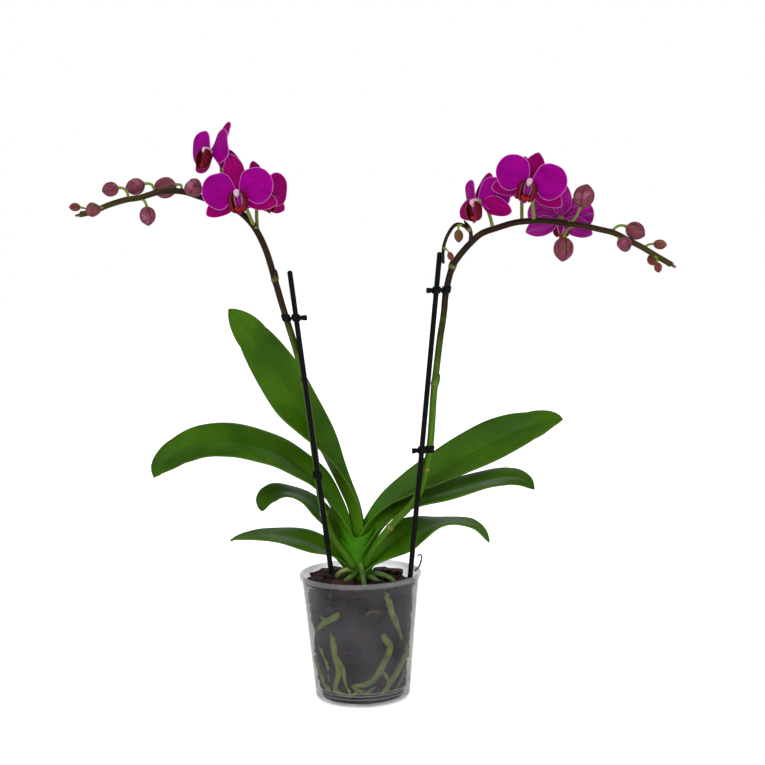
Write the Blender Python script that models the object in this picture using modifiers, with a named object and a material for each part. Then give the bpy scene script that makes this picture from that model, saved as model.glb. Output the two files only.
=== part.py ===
"""A potted moth orchid: clear grower's pot, bark, roots, leaves, two staked flower spikes.

Run with blender --background --python part.py. Units are metres, +Z is up, and the
plant faces -Y. The origin is the centre of the pot's base. Lists of places are in
millimetres and are scaled by MM where they are used.
"""

import math
import random

import bmesh
import bpy
from mathutils import Matrix, Vector

MM = 0.001
GAP = 0.4 * MM  # left between neighbouring pieces

# ---- the pot ----
POT_HEIGHT = 125 * MM
RIM_RADIUS = 60 * MM
MOUTH_RADIUS = 57.2 * MM  # inside the wall, under the rim
FOOT_RADIUS = 45.6 * MM  # inside the wall, at the floor
WALL = 1.1 * MM
FLOOR = 1.6 * MM
RIM_DROP = 5 * MM
FOOT_ROUND = 5 * MM
STEP_HEIGHT = 15 * MM
STEP = 0.5 * MM
DRAIN_HOLES = 6
DRAIN_HOLE_RADIUS = 4 * MM
DRAIN_RING_RADIUS = 29 * MM

# ---- the planting ----
BARK_BOTTOM = 2.4 * MM
BARK_TOP = 111 * MM
CROWN_AT = Vector((-2 * MM, 8 * MM, 0))
ROOT_RADIUS = 3.2 * MM

# ---- flowers ----
PETAL = {"length": 35 * MM, "width": 34 * MM, "claw": 0.7, "thick": 0.9 * MM, "across": 4}
SEPAL = {"length": 37 * MM, "width": 20 * MM, "claw": 0.5, "thick": 0.9 * MM, "across": 3}
HUB = 2 * MM
DORSAL_ANGLE = 92
PETAL_ANGLES = (16, 164)
SEPAL_ANGLES = (-24, -156)
# Rounded masses that make the lip and column: middle and half sizes, in millimetres.
LIP_PIECES = [
    ("lip", (0, 0.5, 6.6), (3.2, 3.8, 4)),
    ("throat", (0, -4, 7.6), (4.6, 4.4, 3.6)),
    ("tongue", (0, -10, 9.4), (4.2, 7.4, 3)),
    ("wing_left", (-4.8, -4.8, 8.8), (2.4, 6, 4.6)),
    ("wing_right", (4.8, -4.8, 8.8), (2.4, 6, 4.6)),
]

for old in list(bpy.data.objects):
    bpy.data.objects.remove(old)

orchid = bpy.data.collections.new("potted_orchid")
cutters = bpy.data.collections.new("cutters")
for group in (orchid, cutters):
    bpy.context.scene.collection.children.link(group)


# ---------- materials ----------


def material(name, colour, roughness=0.5, metallic=0.0, alpha=1.0):
    made = bpy.data.materials.new(name)
    made.use_nodes = True
    shader = made.node_tree.nodes["Principled BSDF"]
    shader.inputs["Base Color"].default_value = (*colour, 1.0)
    shader.inputs["Roughness"].default_value = roughness
    shader.inputs["Metallic"].default_value = metallic
    shader.inputs["Alpha"].default_value = alpha
    return made


CLEAR_PLASTIC = material("clear_plastic", (0.72, 0.73, 0.74), 0.3, alpha=0.35)
BARK = material("bark", (0.06, 0.03, 0.022), 0.85)
LEAF = material("leaf", (0.07, 0.19, 0.012), 0.35)
CROWN = material("crown", (0.16, 0.33, 0.03), 0.45)
ROOT = material("root", (0.25, 0.38, 0.08), 0.6)
STEM = material("stem", (0.09, 0.07, 0.03), 0.5)
BLACK_PLASTIC = material("black_plastic", (0.012, 0.012, 0.014), 0.35)
PETAL_MAGENTA = material("petal", (0.36, 0.0, 0.25), 0.5)
LIP_RED = material("lip", (0.3, 0.0, 0.05), 0.4)
BUD = material("bud", (0.32, 0.12, 0.18), 0.55)


# ---------- helpers ----------


def add(name, mesh, finish, where=orchid):
    thing = bpy.data.objects.new(name, mesh)
    thing.data.materials.clear()
    thing.data.materials.append(finish)
    where.objects.link(thing)
    if where is cutters:
        thing.hide_render = True
        thing.display_type = "WIRE"
    return thing


def from_bmesh(name, shape, finish, where=orchid):
    mesh = bpy.data.meshes.new(name)
    shape.to_mesh(mesh)
    shape.free()
    mesh.shade_smooth()
    return add(name, mesh, finish, where)


def baked(thing):
    """Replaces an object by a mesh of what its modifiers or curve make, with loose caps welded."""
    bpy.context.view_layer.update()
    graph = bpy.context.evaluated_depsgraph_get()
    mesh = bpy.data.meshes.new_from_object(thing.evaluated_get(graph))
    shape = bmesh.new()
    shape.from_mesh(mesh)
    bmesh.ops.remove_doubles(shape, verts=shape.verts, dist=0.01 * MM)
    shape.to_mesh(mesh)
    shape.free()
    name, matrix, group = thing.name, thing.matrix_world.copy(), thing.users_collection[0]
    finish = thing.data.materials[0]
    bpy.data.objects.remove(thing)
    made = add(name, mesh, finish, group)
    made.matrix_world = matrix
    return made


def boolean(target, other, operation):
    cut = target.modifiers.new(operation.lower(), "BOOLEAN")
    cut.operation = operation
    cut.object = other


def fuse(target, *others):
    """Joins the others into target as one solid; they stay behind as hidden helpers."""
    for other in others:
        for group in list(other.users_collection):
            group.objects.unlink(other)
        cutters.objects.link(other)
        other.hide_render = True
        other.display_type = "WIRE"
        boolean(target, other, "UNION")
    return target


def through(points, count):
    """count points, evenly spaced in parameter, on a smooth curve through the given points."""
    points = [Vector(p) for p in points]
    before = points[0] * 2 - points[1]
    after = points[-1] * 2 - points[-2]
    padded = [before, *points, after]
    result = []
    for i in range(count):
        at = i / (count - 1) * (len(points) - 1)
        k = min(int(at), len(points) - 2)
        t = at - k
        p0, p1, p2, p3 = padded[k : k + 4]
        result.append(
            0.5
            * (
                2 * p1
                + (p2 - p0) * t
                + (2 * p0 - 5 * p1 + 4 * p2 - p3) * t * t
                + (3 * p1 - p0 - 3 * p2 + p3) * t**3
            )
        )
    return result


def millimetres(points):
    return [Vector(p) * MM for p in points]


def tube(name, points, radii, finish, where=orchid, sides=8):
    """A round stalk along the points; radii holds its radius at each end."""
    curve = bpy.data.curves.new(name, "CURVE")
    curve.dimensions = "3D"
    curve.bevel_depth = 1.0
    curve.bevel_resolution = sides // 2 - 2
    curve.use_fill_caps = True
    curve.materials.append(finish)
    spline = curve.splines.new("POLY")
    spline.points.add(len(points) - 1)
    for i, (point, place) in enumerate(zip(spline.points, points)):
        t = i / (len(points) - 1)
        point.co = (*place, 1.0)
        point.radius = radii[0] * (1 - t) + radii[1] * t
    thing = bpy.data.objects.new(name, curve)
    where.objects.link(thing)
    return baked(thing)


def ball(name, matrix, size, finish, segments=8, rings=5, where=orchid):
    """An ellipsoid with semi-axes size, placed by matrix."""
    shape = bmesh.new()
    bmesh.ops.create_uvsphere(shape, u_segments=segments, v_segments=rings, radius=1.0)
    bmesh.ops.scale(shape, vec=size, verts=shape.verts)
    bmesh.ops.transform(shape, matrix=matrix, verts=shape.verts)
    return from_bmesh(name, shape, finish, where)


def rod(name, matrix, radius, length, finish, segments=16, where=orchid):
    """A straight cylinder from the matrix's origin along its Z."""
    shape = bmesh.new()
    bmesh.ops.create_cone(
        shape, cap_ends=True, segments=segments, radius1=radius, radius2=radius, depth=length
    )
    bmesh.ops.translate(shape, vec=(0, 0, length / 2), verts=shape.verts)
    bmesh.ops.transform(shape, matrix=matrix, verts=shape.verts)
    return from_bmesh(name, shape, finish, where)


def bow(start, control, end, count):
    """count points on the curve that leaves start towards control and reaches end from it."""
    steps = [i / (count - 1) for i in range(count)]
    return [start * (1 - t) ** 2 + control * 2 * t * (1 - t) + end * t * t for t in steps]


def looking_along(start, end):
    """A frame at start whose Z points to end."""
    way = (end - start).normalized()
    return Matrix.Translation(start) @ way.to_track_quat("Z", "Y").to_matrix().to_4x4()


def sheet(name, across, along, place, thick, finish, where=orchid):
    """A thin closed sheet: a grid whose (u, v), u in -1..1 and v in 0..1, is moved to place(u, v)."""
    shape = bmesh.new()
    bmesh.ops.create_grid(shape, x_segments=across, y_segments=along, size=1.0)
    for vert in shape.verts:
        vert.co = place(vert.co.x, (vert.co.y + 1) / 2)
    thing = from_bmesh(name, shape, finish, where)
    wall = thing.modifiers.new("thickness", "SOLIDIFY")
    wall.thickness = thick
    wall.offset = 0
    return baked(thing)


# ---------- pot ----------


def wall_radius(height):
    """Inner radius of the pot's wall at a height."""
    return FOOT_RADIUS + (MOUTH_RADIUS - FOOT_RADIUS) * height / POT_HEIGHT


def pot():
    top = POT_HEIGHT
    under_rim = top - RIM_DROP
    rim_inner = wall_radius(top)
    foot_outer = wall_radius(FOOT_ROUND) + WALL
    corner = [
        (
            foot_outer - FOOT_ROUND + FOOT_ROUND * math.cos(a),
            FOOT_ROUND - FOOT_ROUND * math.sin(a),
        )
        for a in (math.radians(d) for d in (0, 30, 60, 90))
    ]
    profile = [
        (0, FLOOR),
        (FOOT_RADIUS - 3 * MM, FLOOR),
        (wall_radius(FLOOR + 3 * MM), FLOOR + 3 * MM),
        (rim_inner, top - 0.6 * MM),
        (rim_inner + 0.6 * MM, top),
        (RIM_RADIUS - 0.8 * MM, top),
        (RIM_RADIUS, top - 1 * MM),
        (RIM_RADIUS, under_rim + 1 * MM),
        (wall_radius(under_rim) + WALL, under_rim),
        (wall_radius(STEP_HEIGHT) + WALL, STEP_HEIGHT),
        (wall_radius(STEP_HEIGHT) + WALL - STEP, STEP_HEIGHT - STEP),
        (foot_outer, FOOT_ROUND + 1 * MM),
        *corner,
        (0, 0),
    ]
    outline = bpy.data.meshes.new("pot")
    edges = [(i, i + 1) for i in range(len(profile) - 1)]
    outline.from_pydata([(r, 0, z) for r, z in profile], edges, [])
    body = add("pot", outline, CLEAR_PLASTIC)
    turn = body.modifiers.new("turn", "SCREW")
    turn.steps = turn.render_steps = 36
    turn.use_merge_vertices = True
    turn.merge_threshold = 0.01 * MM
    for i in range(DRAIN_HOLES):
        a = math.tau * (i + 0.4) / DRAIN_HOLES
        at = Vector((math.cos(a) * DRAIN_RING_RADIUS, math.sin(a) * DRAIN_RING_RADIUS, -5 * MM))
        hole = rod(
            f"drain_{i}", Matrix.Translation(at), DRAIN_HOLE_RADIUS, 12 * MM, CLEAR_PLASTIC, 12, cutters
        )
        boolean(body, hole, "DIFFERENCE")
    return body


# ---------- roots, crown and bark ----------


def on_wall(degrees, height):
    """A root's centre where it runs down the inside of the wall, degrees round from the front."""
    a = math.radians(degrees)
    r = wall_radius(height * MM) - ROOT_RADIUS - 5 * GAP
    return Vector((math.sin(a) * r, -math.cos(a) * r, height * MM))


# Each root starts in the bark (millimetres) and then runs along the wall (degrees, height).
ROOTS = {
    "root_front_left": [(-16, -14, 92), [(-27, 92), (-44, 84), (-64, 72)]],
    "root_left": [(-12, -18, 66), [(-35, 68), (-33, 50), (-30, 34), (-39, 16)]],
    "root_hook": [(14, -16, 72), [(27, 70), (36, 58), (24, 38), (10, 25), (-12, 22)]],
    "root_right": [(20, -14, 100), [(33, 104), (40, 88), (50, 72)]],
    "root_low_right": [(22, -6, 56), [(74, 52), (56, 36), (38, 22), (26, 12)]],
    "root_low_left": [(-24, 0, 40), [(-82, 40), (-62, 26), (-52, 14)]],
    "root_back": [(0, 22, 80), [(176, 76), (160, 52), (140, 34), (128, 14)]],
}
AERIAL_ROOT = [(1, -3.5, 126), (3, -9, 119), (4, -16, 111), (6, -24, 101), (8, -32, 92)]


def root_path(inner, wall):
    return through([Vector(inner) * MM, *(on_wall(*p) for p in wall)], 2 * len(wall) + 3)


def crown():
    """The short stem that leaves and spikes grow from."""
    profile = [(0, 139), (2, 138), (4, 131), (4.6, 121), (6.5, 113), (6.5, 105), (4, 99), (0, 98)]
    outline = bpy.data.meshes.new("crown")
    edges = [(i, i + 1) for i in range(len(profile) - 1)]
    outline.from_pydata([(r * MM, 0, z * MM) for r, z in profile], edges, [])
    stem = add("crown", outline, CROWN)
    turn = stem.modifiers.new("turn", "SCREW")
    turn.steps = turn.render_steps = 12
    turn.use_merge_vertices = True
    turn.merge_threshold = 0.01 * MM
    stem.location = CROWN_AT
    return stem


def bark(holes):
    """The bark that fills the pot, with a lumpy top and room for what is set in it."""
    side = [(wall_radius(h * MM) - 6 * GAP, h * MM) for h in (100, 75, 50, 25, 6)]
    top = [(r * MM, BARK_TOP) for r in (0, 11, 22, 33, 44)]
    profile = [*top, (side[0][0] - 2 * MM, BARK_TOP - 3 * MM), *side]
    profile += [(FOOT_RADIUS - 5 * MM, BARK_BOTTOM), (0, BARK_BOTTOM)]
    outline = bpy.data.meshes.new("bark")
    edges = [(i, i + 1) for i in range(len(profile) - 1)]
    outline.from_pydata([(r, 0, z) for r, z in profile], edges, [])
    heap = add("bark", outline, BARK)
    turn = heap.modifiers.new("turn", "SCREW")
    turn.steps = turn.render_steps = 20
    turn.use_merge_vertices = True
    turn.merge_threshold = 0.01 * MM
    heap = baked(heap)
    lumps = random.Random(4)
    for vert in heap.data.vertices:
        if vert.co.z > BARK_TOP - 1 * MM:
            heaped = 4 * MM * max(0.0, -vert.co.x / MOUTH_RADIUS)
            vert.co.z += lumps.uniform(-2.5, 2.5) * MM + heaped
    for hole in holes:
        boolean(heap, hole, "DIFFERENCE")
    return heap


# Loose chips on top of the bark: centre, half sizes (millimetres), tilt and turn (degrees).
CHIPS = [
    ((-36, 12, 122), (11, 8, 5), 24, 20),
    ((-44, -14, 117), (9, 6, 4), -18, -40),
    ((33, 24, 118), (12, 7, 5), -14, 30),
    ((26, -33, 114.5), (9, 5.5, 3.5), 8, -30),
]


def chip(number, centre, half, tilt, turn):
    shape = bmesh.new()
    bmesh.ops.create_icosphere(shape, subdivisions=1, radius=1.0)
    chop = random.Random(number)
    for vert in shape.verts:
        vert.co *= chop.uniform(0.85, 1.1)
    place = (
        Matrix.Translation(Vector(centre) * MM)
        @ Matrix.Rotation(math.radians(turn), 4, "Z")
        @ Matrix.Rotation(math.radians(tilt), 4, "X")
    )
    bmesh.ops.scale(shape, vec=Vector(half) * MM, verts=shape.verts)
    bmesh.ops.transform(shape, matrix=place, verts=shape.verts)
    return from_bmesh(f"bark_chip_{number}", shape, BARK)


# ---------- leaves ----------

# Each leaf: its midrib from crown to tip, then values at nine even steps along it: half its
# width, how far the blade is rolled (0 lies flat across Y, 90 faces -Y), and how far each half
# folds up from the midrib. Lengths are in millimetres and angles in degrees. Leaves are
# numbered from the top down.
LEAVES = {
    "leaf_left_1": {
        "rib": [(-6, 18.5, 151), (-10, 24, 181), (-18, 26, 202), (-36, 29, 240), (-58, 35, 285),
                (-69, 38, 307), (-85, 40, 333), (-104, 42, 360), (-126, 42, 385)],
        "half": (6, 11, 17, 21, 24, 26, 25, 19, 1.5),
        "roll": (8, 6, 8, 20, 60, 92, 102, 104, 100),
        "fold": (60, 60, 58, 50, 42, 32, 24, 18, 10),
    },
    "leaf_left_2": {
        "rib": [(-9.5, 12, 137), (-18, 14.5, 165), (-28, 18, 188), (-42, 19, 212), (-58, 16, 227),
                (-77, 8, 242), (-96, 1, 251), (-115, -4, 257), (-133, -9, 259), (-151, -14, 258),
                (-167, -18, 253), (-181, -21, 246), (-193, -23, 236), (-197, -24, 227)],
        "half": (6, 11, 17, 22, 25, 26, 24, 18, 1.5),
        "roll": (5, 8, 18, 30, 34, 36, 42, 52, 62),
        "fold": (60, 52, 38, 24, 16, 12, 12, 12, 10),
    },
    "leaf_left_3": {
        "rib": [(-13, 16, 130), (-22, 22.5, 153), (-31, 27, 170), (-43.5, 31, 185), (-56, 34, 194),
                (-70, 36, 199), (-83, 37, 200), (-92, 36, 197), (-97, 34, 190), (-98, 32, 182)],
        "half": (5, 8, 11, 13, 14, 14, 14, 11, 1.5),
        "roll": (4, 12, 26, 36, 30, 16, 20, 50, 80),
        "fold": (58, 48, 34, 22, 14, 12, 12, 10, 8),
    },
    "leaf_left_4": {
        "rib": [(-14, 9, 118), (-23, 10.5, 135), (-35, 13, 145), (-53, 16, 152.5), (-76, 19, 158),
                (-98, 20, 160), (-120, 19, 157.5), (-129, 18, 155)],
        "half": (5, 9, 13, 16, 18, 17, 15, 10, 1.5),
        "roll": (5, 14, 22, 26, 24, 20, 14, 8, 5),
        "fold": (56, 44, 28, 18, 12, 10, 10, 10, 8),
    },
    "leaf_right_1": {
        "rib": [(5, 16, 143), (14, 19, 167), (31, 23, 188), (53, 27, 204), (74, 27, 217),
                (102, 25, 230), (129, 27, 243), (154, 28, 254), (177, 26, 263), (193, 21, 269),
                (203, 16, 270.5)],
        "half": (6, 11, 17, 23, 26, 28, 27, 20, 1.5),
        "roll": (4, 8, 18, 32, 42, 46, 46, 44, 42),
        "fold": (60, 54, 44, 34, 28, 25, 22, 16, 10),
    },
    "leaf_right_2": {
        "rib": [(7, 10, 134), (17, 8, 157), (27, 8, 171), (45, 8, 186), (65, 8, 195), (87, 8, 201),
                (110, 9, 207), (133, 9, 213), (152, 8, 215), (165, 4, 211), (172.5, 0, 204)],
        "half": (5, 7, 10, 14, 17, 19, 18, 14, 1.5),
        "roll": (4, 10, 16, 20, 20, 20, 22, 28, 34),
        "fold": (58, 46, 32, 22, 16, 12, 12, 12, 10),
    },
    "leaf_right_3": {
        "rib": [(11, 2, 119), (18, 1, 134), (29, 2, 146), (45, 5, 157), (65, 8, 166), (87, 9, 172),
                (108, 11, 170), (119.5, 11, 163), (128, 9, 150)],
        "half": (5, 9, 15, 19, 19, 17, 15, 11, 1.5),
        "roll": (4, 20, 46, 52, 30, 10, 5, 10, 20),
        "fold": (56, 36, 20, 16, 12, 8, 8, 8, 8),
    },
}
LEAF_THICKNESS = 2 * MM


def smooth(t):
    """0 to 1 with a gentle start and end."""
    t = min(max(t, 0.0), 1.0)
    return t * t * (3 - 2 * t)


def along_list(values, t):
    """The value a share t of the way along a list of evenly spaced values."""
    at = min(max(t, 0.0), 1.0) * (len(values) - 1)
    k = min(int(at), len(values) - 2)
    return values[k] + (values[k + 1] - values[k]) * (at - k)


def evenly(points, count):
    """count points at even distances along a smooth curve through the given points."""
    fine = through(points, 12 * len(points))
    run = [0.0]
    for a, b in zip(fine, fine[1:]):
        run.append(run[-1] + (b - a).length)
    result, k = [], 0
    for i in range(count):
        goal = run[-1] * i / (count - 1)
        while k < len(fine) - 2 and run[k + 1] < goal:
            k += 1
        result.append(fine[k].lerp(fine[k + 1], (goal - run[k]) / (run[k + 1] - run[k])))
    return result


def leaf(name, rib, half, roll, fold):
    line = evenly(millimetres(rib), 81)
    outward = 1 if rib[-1][0] > 0 else -1

    def place(u, v):
        k = min(int(v * 80), 79)
        centre = line[k].lerp(line[k + 1], v * 80 - k)
        along = (line[min(k + 3, 80)] - line[max(k - 2, 0)]).normalized()
        side = Vector((0, 1, 0))
        side = (side - along * side.dot(along)).normalized()
        side.rotate(Matrix.Rotation(math.radians(along_list(roll, v)) * outward, 3, along))
        upward = along.cross(side) * outward
        lift = math.radians(along_list(fold, v))
        reach = u * along_list(half, v) * MM
        return centre + side * reach * math.cos(lift) + upward * abs(reach) * math.sin(lift)

    return sheet(name, 4, 12, place, LEAF_THICKNESS, LEAF)


# ---------- flower spikes ----------

SPIKES = {
    "spike_left": {
        "line": [(-7, -3, 131), (-15, -1, 143), (-24, 0, 155), (-31, -2, 171), (-36, -5, 193),
                 (-39, -7, 218), (-42, -8, 248), (-46, -8, 283), (-50, -8, 314), (-57, -9, 346),
                 (-66, -10, 378), (-75, -11, 412), (-83, -12, 442), (-93, -12, 464), (-106, -10, 479),
                 (-123, -8, 488), (-141, -8, 494), (-162, -10, 501), (-183, -12, 501),
                 (-202, -14, 496), (-216, -15, 494), (-233, -17, 489), (-245, -19, 484),
                 (-258, -20, 481)],
        "radii": (3.2, 2.2),
    },
    "spike_right": {
        "line": [(6, -3, 132), (12, -7, 145), (20, -9, 158), (29, -10, 169), (40, -10, 181),
                 (51, -10, 192), (60, -11, 206), (66, -14, 227), (70, -16, 247), (73, -16, 276),
                 (75, -16, 301), (78, -16, 325), (82, -15, 354), (86, -15, 378), (89, -15, 402),
                 (95, -14, 423), (102, -13, 434), (113, -12, 446), (124, -10, 455), (139, -8, 460),
                 (158, -6, 465), (181, -5, 466), (200, -5, 464), (219, -6, 461), (236, -8, 457),
                 (251, -10, 453), (264, -12, 446), (277, -14, 439), (291, -16, 430),
                 (304, -18, 422)],
        "radii": (3.2, 2.2),
    },
}
SIDE_BRANCH = [(115, -12, 448), (113, -15, 457), (106, -18, 463), (99, -21, 464), (93, -23, 458),
               (88, -25, 448), (86, -26, 438), (86, -26, 428)]
SPIKE_POINTS = 36


def spike_line(name):
    return through(millimetres(SPIKES[name]["line"]), SPIKE_POINTS)


def spike(name):
    radii = [r * MM for r in SPIKES[name]["radii"]]
    stem = tube(name, spike_line(name), radii, STEM)
    if name == "spike_right":
        branch = tube("side_branch", through(millimetres(SIDE_BRANCH), 11), (2 * MM, 1.1 * MM), STEM)
        fuse(stem, branch)
    return stem


def stalk_start(name, towards, stalk_radius):
    """A point just off the spike's surface, on the side that faces towards."""
    line = through(millimetres(SIDE_BRANCH), 14) if name == "side_branch" else spike_line(name)
    near = min(range(len(line)), key=lambda i: (line[i] - towards).length)
    along = (line[min(near + 1, len(line) - 1)] - line[max(near - 1, 0)]).normalized()
    way = towards - line[near]
    way = (way - along * way.dot(along)).normalized()
    thick = 2.1 * MM if name == "side_branch" else 3.2 * MM
    return line[near] + way * (thick + stalk_radius * 0.5 + GAP)


# ---------- stakes and clips ----------

STAKES = {
    "stake_left": {"foot": (-17.7, -14, 34), "top": (-61, -14, 422)},
    "stake_right": {"foot": (40.8, -21, 50), "top": (83, -21, 437)},
}
STAKE_RADIUS = 2.6 * MM
CLIPS = {
    "clip_left_upper": ("stake_left", "spike_left", 378),
    "clip_left_lower": ("stake_left", "spike_left", 224),
    "clip_right_upper": ("stake_right", "spike_right", 402),
    "clip_right_lower": ("stake_right", "spike_right", 248),
}
CLIP_HEIGHT = 7 * MM
CLIP_WALL = 1.3 * MM
CLIP_TAB = 9 * MM


def at_height(line, height):
    """The point where a rising line first passes a height."""
    for low, high in zip(line, line[1:]):
        if low.z <= height <= high.z:
            return low.lerp(high, (height - low.z) / (high.z - low.z))
    return line[-1]


def stake(name):
    foot, top = millimetres([STAKES[name]["foot"], STAKES[name]["top"]])
    return rod(name, looking_along(foot, top), STAKE_RADIUS, (top - foot).length, BLACK_PLASTIC, 10)


def clip(name, stake_name, spike_name, height):
    """Two rings, one round the stake and one round the spike, with a bridge and a finger tab."""
    foot, top = millimetres([STAKES[stake_name]["foot"], STAKES[stake_name]["top"]])
    on_stake = at_height([foot, top], height * MM)
    on_spike = at_height(spike_line(spike_name), height * MM)
    line = spike_line(spike_name)
    above = at_height(line, height * MM + 4 * MM)
    below = at_height(line, height * MM - 4 * MM)
    rings = []
    for centre, axis, inner in (
        (on_stake, (top - foot).normalized(), STAKE_RADIUS + GAP),
        (on_spike, (above - below).normalized(), 3.7 * MM),
    ):
        base = centre - axis * CLIP_HEIGHT / 2
        frame = looking_along(base, base + axis)
        rings.append((frame, inner))
    way = (on_stake - on_spike).normalized()
    flat = Vector((way.x, way.y, 0)).normalized()
    turn = Matrix.Rotation(math.atan2(flat.y, flat.x), 4, "Z")
    body = bmesh.new()
    span = (on_stake - on_spike).length + CLIP_TAB
    bmesh.ops.create_cube(body, size=1.0)
    bmesh.ops.scale(body, vec=(span, 2.2 * MM, CLIP_HEIGHT * 0.6), verts=body.verts)
    centre = Matrix.Translation(on_spike + flat * span / 2) @ turn
    bmesh.ops.transform(body, matrix=centre, verts=body.verts)
    made = from_bmesh(name, body, BLACK_PLASTIC)
    for i, (frame, inner) in enumerate(rings):
        outer = rod(f"{name}_ring_{i}", frame, inner + CLIP_WALL, CLIP_HEIGHT, BLACK_PLASTIC, 10)
        fuse(made, outer)
    for i, (frame, inner) in enumerate(rings):
        lower = frame @ Matrix.Translation((0, 0, -6 * MM))
        bore = rod(f"{name}_bore_{i}", lower, inner, CLIP_HEIGHT + 12 * MM, BLACK_PLASTIC, 10, cutters)
        boolean(made, bore, "DIFFERENCE")
    return made


# ---------- flowers ----------

# Centre (millimetres), yaw and pitch of the way it faces, roll, size, how far back the petals,
# the top sepal and the side sepals lean, and where its stalk leaves the spike (angles in degrees).
FLOWERS = {
    "flower_1": {"at": (-106, -42, 497), "yaw": -3, "pitch": -3, "roll": 8, "size": 1.0,
                 "swept": (3, 5, 6, 6), "stalk": ("spike_left", (-92, -16, 468))},
    "flower_2": {"at": (-132, -16, 537), "yaw": -52, "pitch": 8, "roll": 0, "size": 0.96,
                 "swept": (-7, 24, 20, 0), "stalk": ("spike_left", (-125, -9, 492))},
    "flower_3": {"at": (-86, 15, 498), "yaw": 42, "pitch": -5, "roll": -4, "size": 0.96,
                 "swept": (6, 28, 8, 8), "stalk": ("spike_left", (-88, -4, 462))},
    "flower_4": {"at": (168, -40, 502), "yaw": -10, "pitch": -6, "roll": -16, "size": 1.0,
                 "swept": (3, 42, 6, 6), "stalk": ("spike_right", (174, -10, 470))},
    "flower_5": {"at": (120, -18, 485), "yaw": -42, "pitch": -12, "roll": 4, "size": 0.94,
                 "swept": (30, 45, 8, 8), "stalk": ("spike_right", (134, -14, 462))},
    "flower_6": {"at": (204, 22, 467), "yaw": 165, "pitch": -6, "roll": 3, "size": 0.96,
                 "swept": (6, 8, 8, 8), "stalk": ("spike_right", (201, 0, 465))},
    "flower_7": {"at": (164, 24, 501), "yaw": 176, "pitch": -4, "roll": 6, "size": 0.84,
                 "swept": (6, 8, 8, 8), "stalk": ("spike_right", (163, 0, 468))},
}


def facing(spec):
    """The flower's frame: +Z out of its face, +Y towards its top sepal."""
    front = Matrix(((1, 0, 0), (0, 0, -1), (0, 1, 0))).to_4x4()
    return (
        Matrix.Translation(Vector(spec["at"]) * MM)
        @ Matrix.Rotation(math.radians(spec["yaw"]), 4, "Z")
        @ Matrix.Rotation(math.radians(-spec["pitch"]), 4, "X")
        @ front
        @ Matrix.Rotation(math.radians(spec["roll"]), 4, "Z")
        @ Matrix.Scale(spec["size"], 4)
    )


def blade(name, frame, angle, swept, kind, lift):
    """One petal or sepal, from near the flower's middle outwards along angle."""
    turn = frame @ Matrix.Rotation(math.radians(angle), 4, "Z")
    lean = Matrix.Rotation(math.radians(swept), 4, "Y")

    def place(u, v):
        # a square grid squeezed into a round one, so that the outline has no corners
        s = 2 * v - 1
        x = u * math.sqrt(1 - s * s / 2)
        y = s * math.sqrt(1 - u * u / 2)
        out = (y + 1) / 2
        wide = kind["width"] / 2 * (kind["claw"] + (1 - kind["claw"]) * smooth(out * 3))
        point = Vector((HUB + out * (kind["length"] - HUB), x * wide, 0))
        point.z = lift - 1.5 * MM * (x * x) - 1.5 * MM * out * out
        return turn @ (lean @ point)

    return sheet(name, kind["across"], 4, place, kind["thick"], PETAL_MAGENTA)


def flower(name, spec):
    frame = facing(spec)
    swept = spec["swept"]
    hub = ball(name, frame @ Matrix.Translation((0, 0, -1 * MM)),
               (5.5 * MM, 5 * MM, 3 * MM), PETAL_MAGENTA)
    petals = [
        blade(f"{name}_petal_{i}", frame, angle, swept[0], PETAL, (0.6 + 0.3 * i) * MM)
        for i, angle in enumerate(PETAL_ANGLES)
    ]
    sepals = [
        blade(f"{name}_sepal_{i}", frame, angle, swept[i + 1], SEPAL, (-1.3 - 0.6 * i) * MM)
        for i, angle in enumerate((DORSAL_ANGLE, *SEPAL_ANGLES))
    ]
    behind = frame @ Vector((0, 0, -2.2 * MM))
    spike_name, near = spec["stalk"]
    start = stalk_start(spike_name, Vector(near) * MM, 1.5 * MM)
    bend = frame @ Vector((0, 0, -16 * MM))
    stalk = tube(f"{name}_stalk", bow(start, bend, behind, 7), (1.5 * MM, 1.9 * MM), PETAL_MAGENTA)
    fuse(hub, *petals, *sepals, stalk)

    lip = [
        ball(f"{name}_{piece}", frame @ Matrix.Translation(Vector(at) * MM), Vector(size) * MM,
             LIP_RED, 6)
        for piece, at, size in LIP_PIECES
    ]
    fuse(*lip)


# ---------- buds ----------

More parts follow.
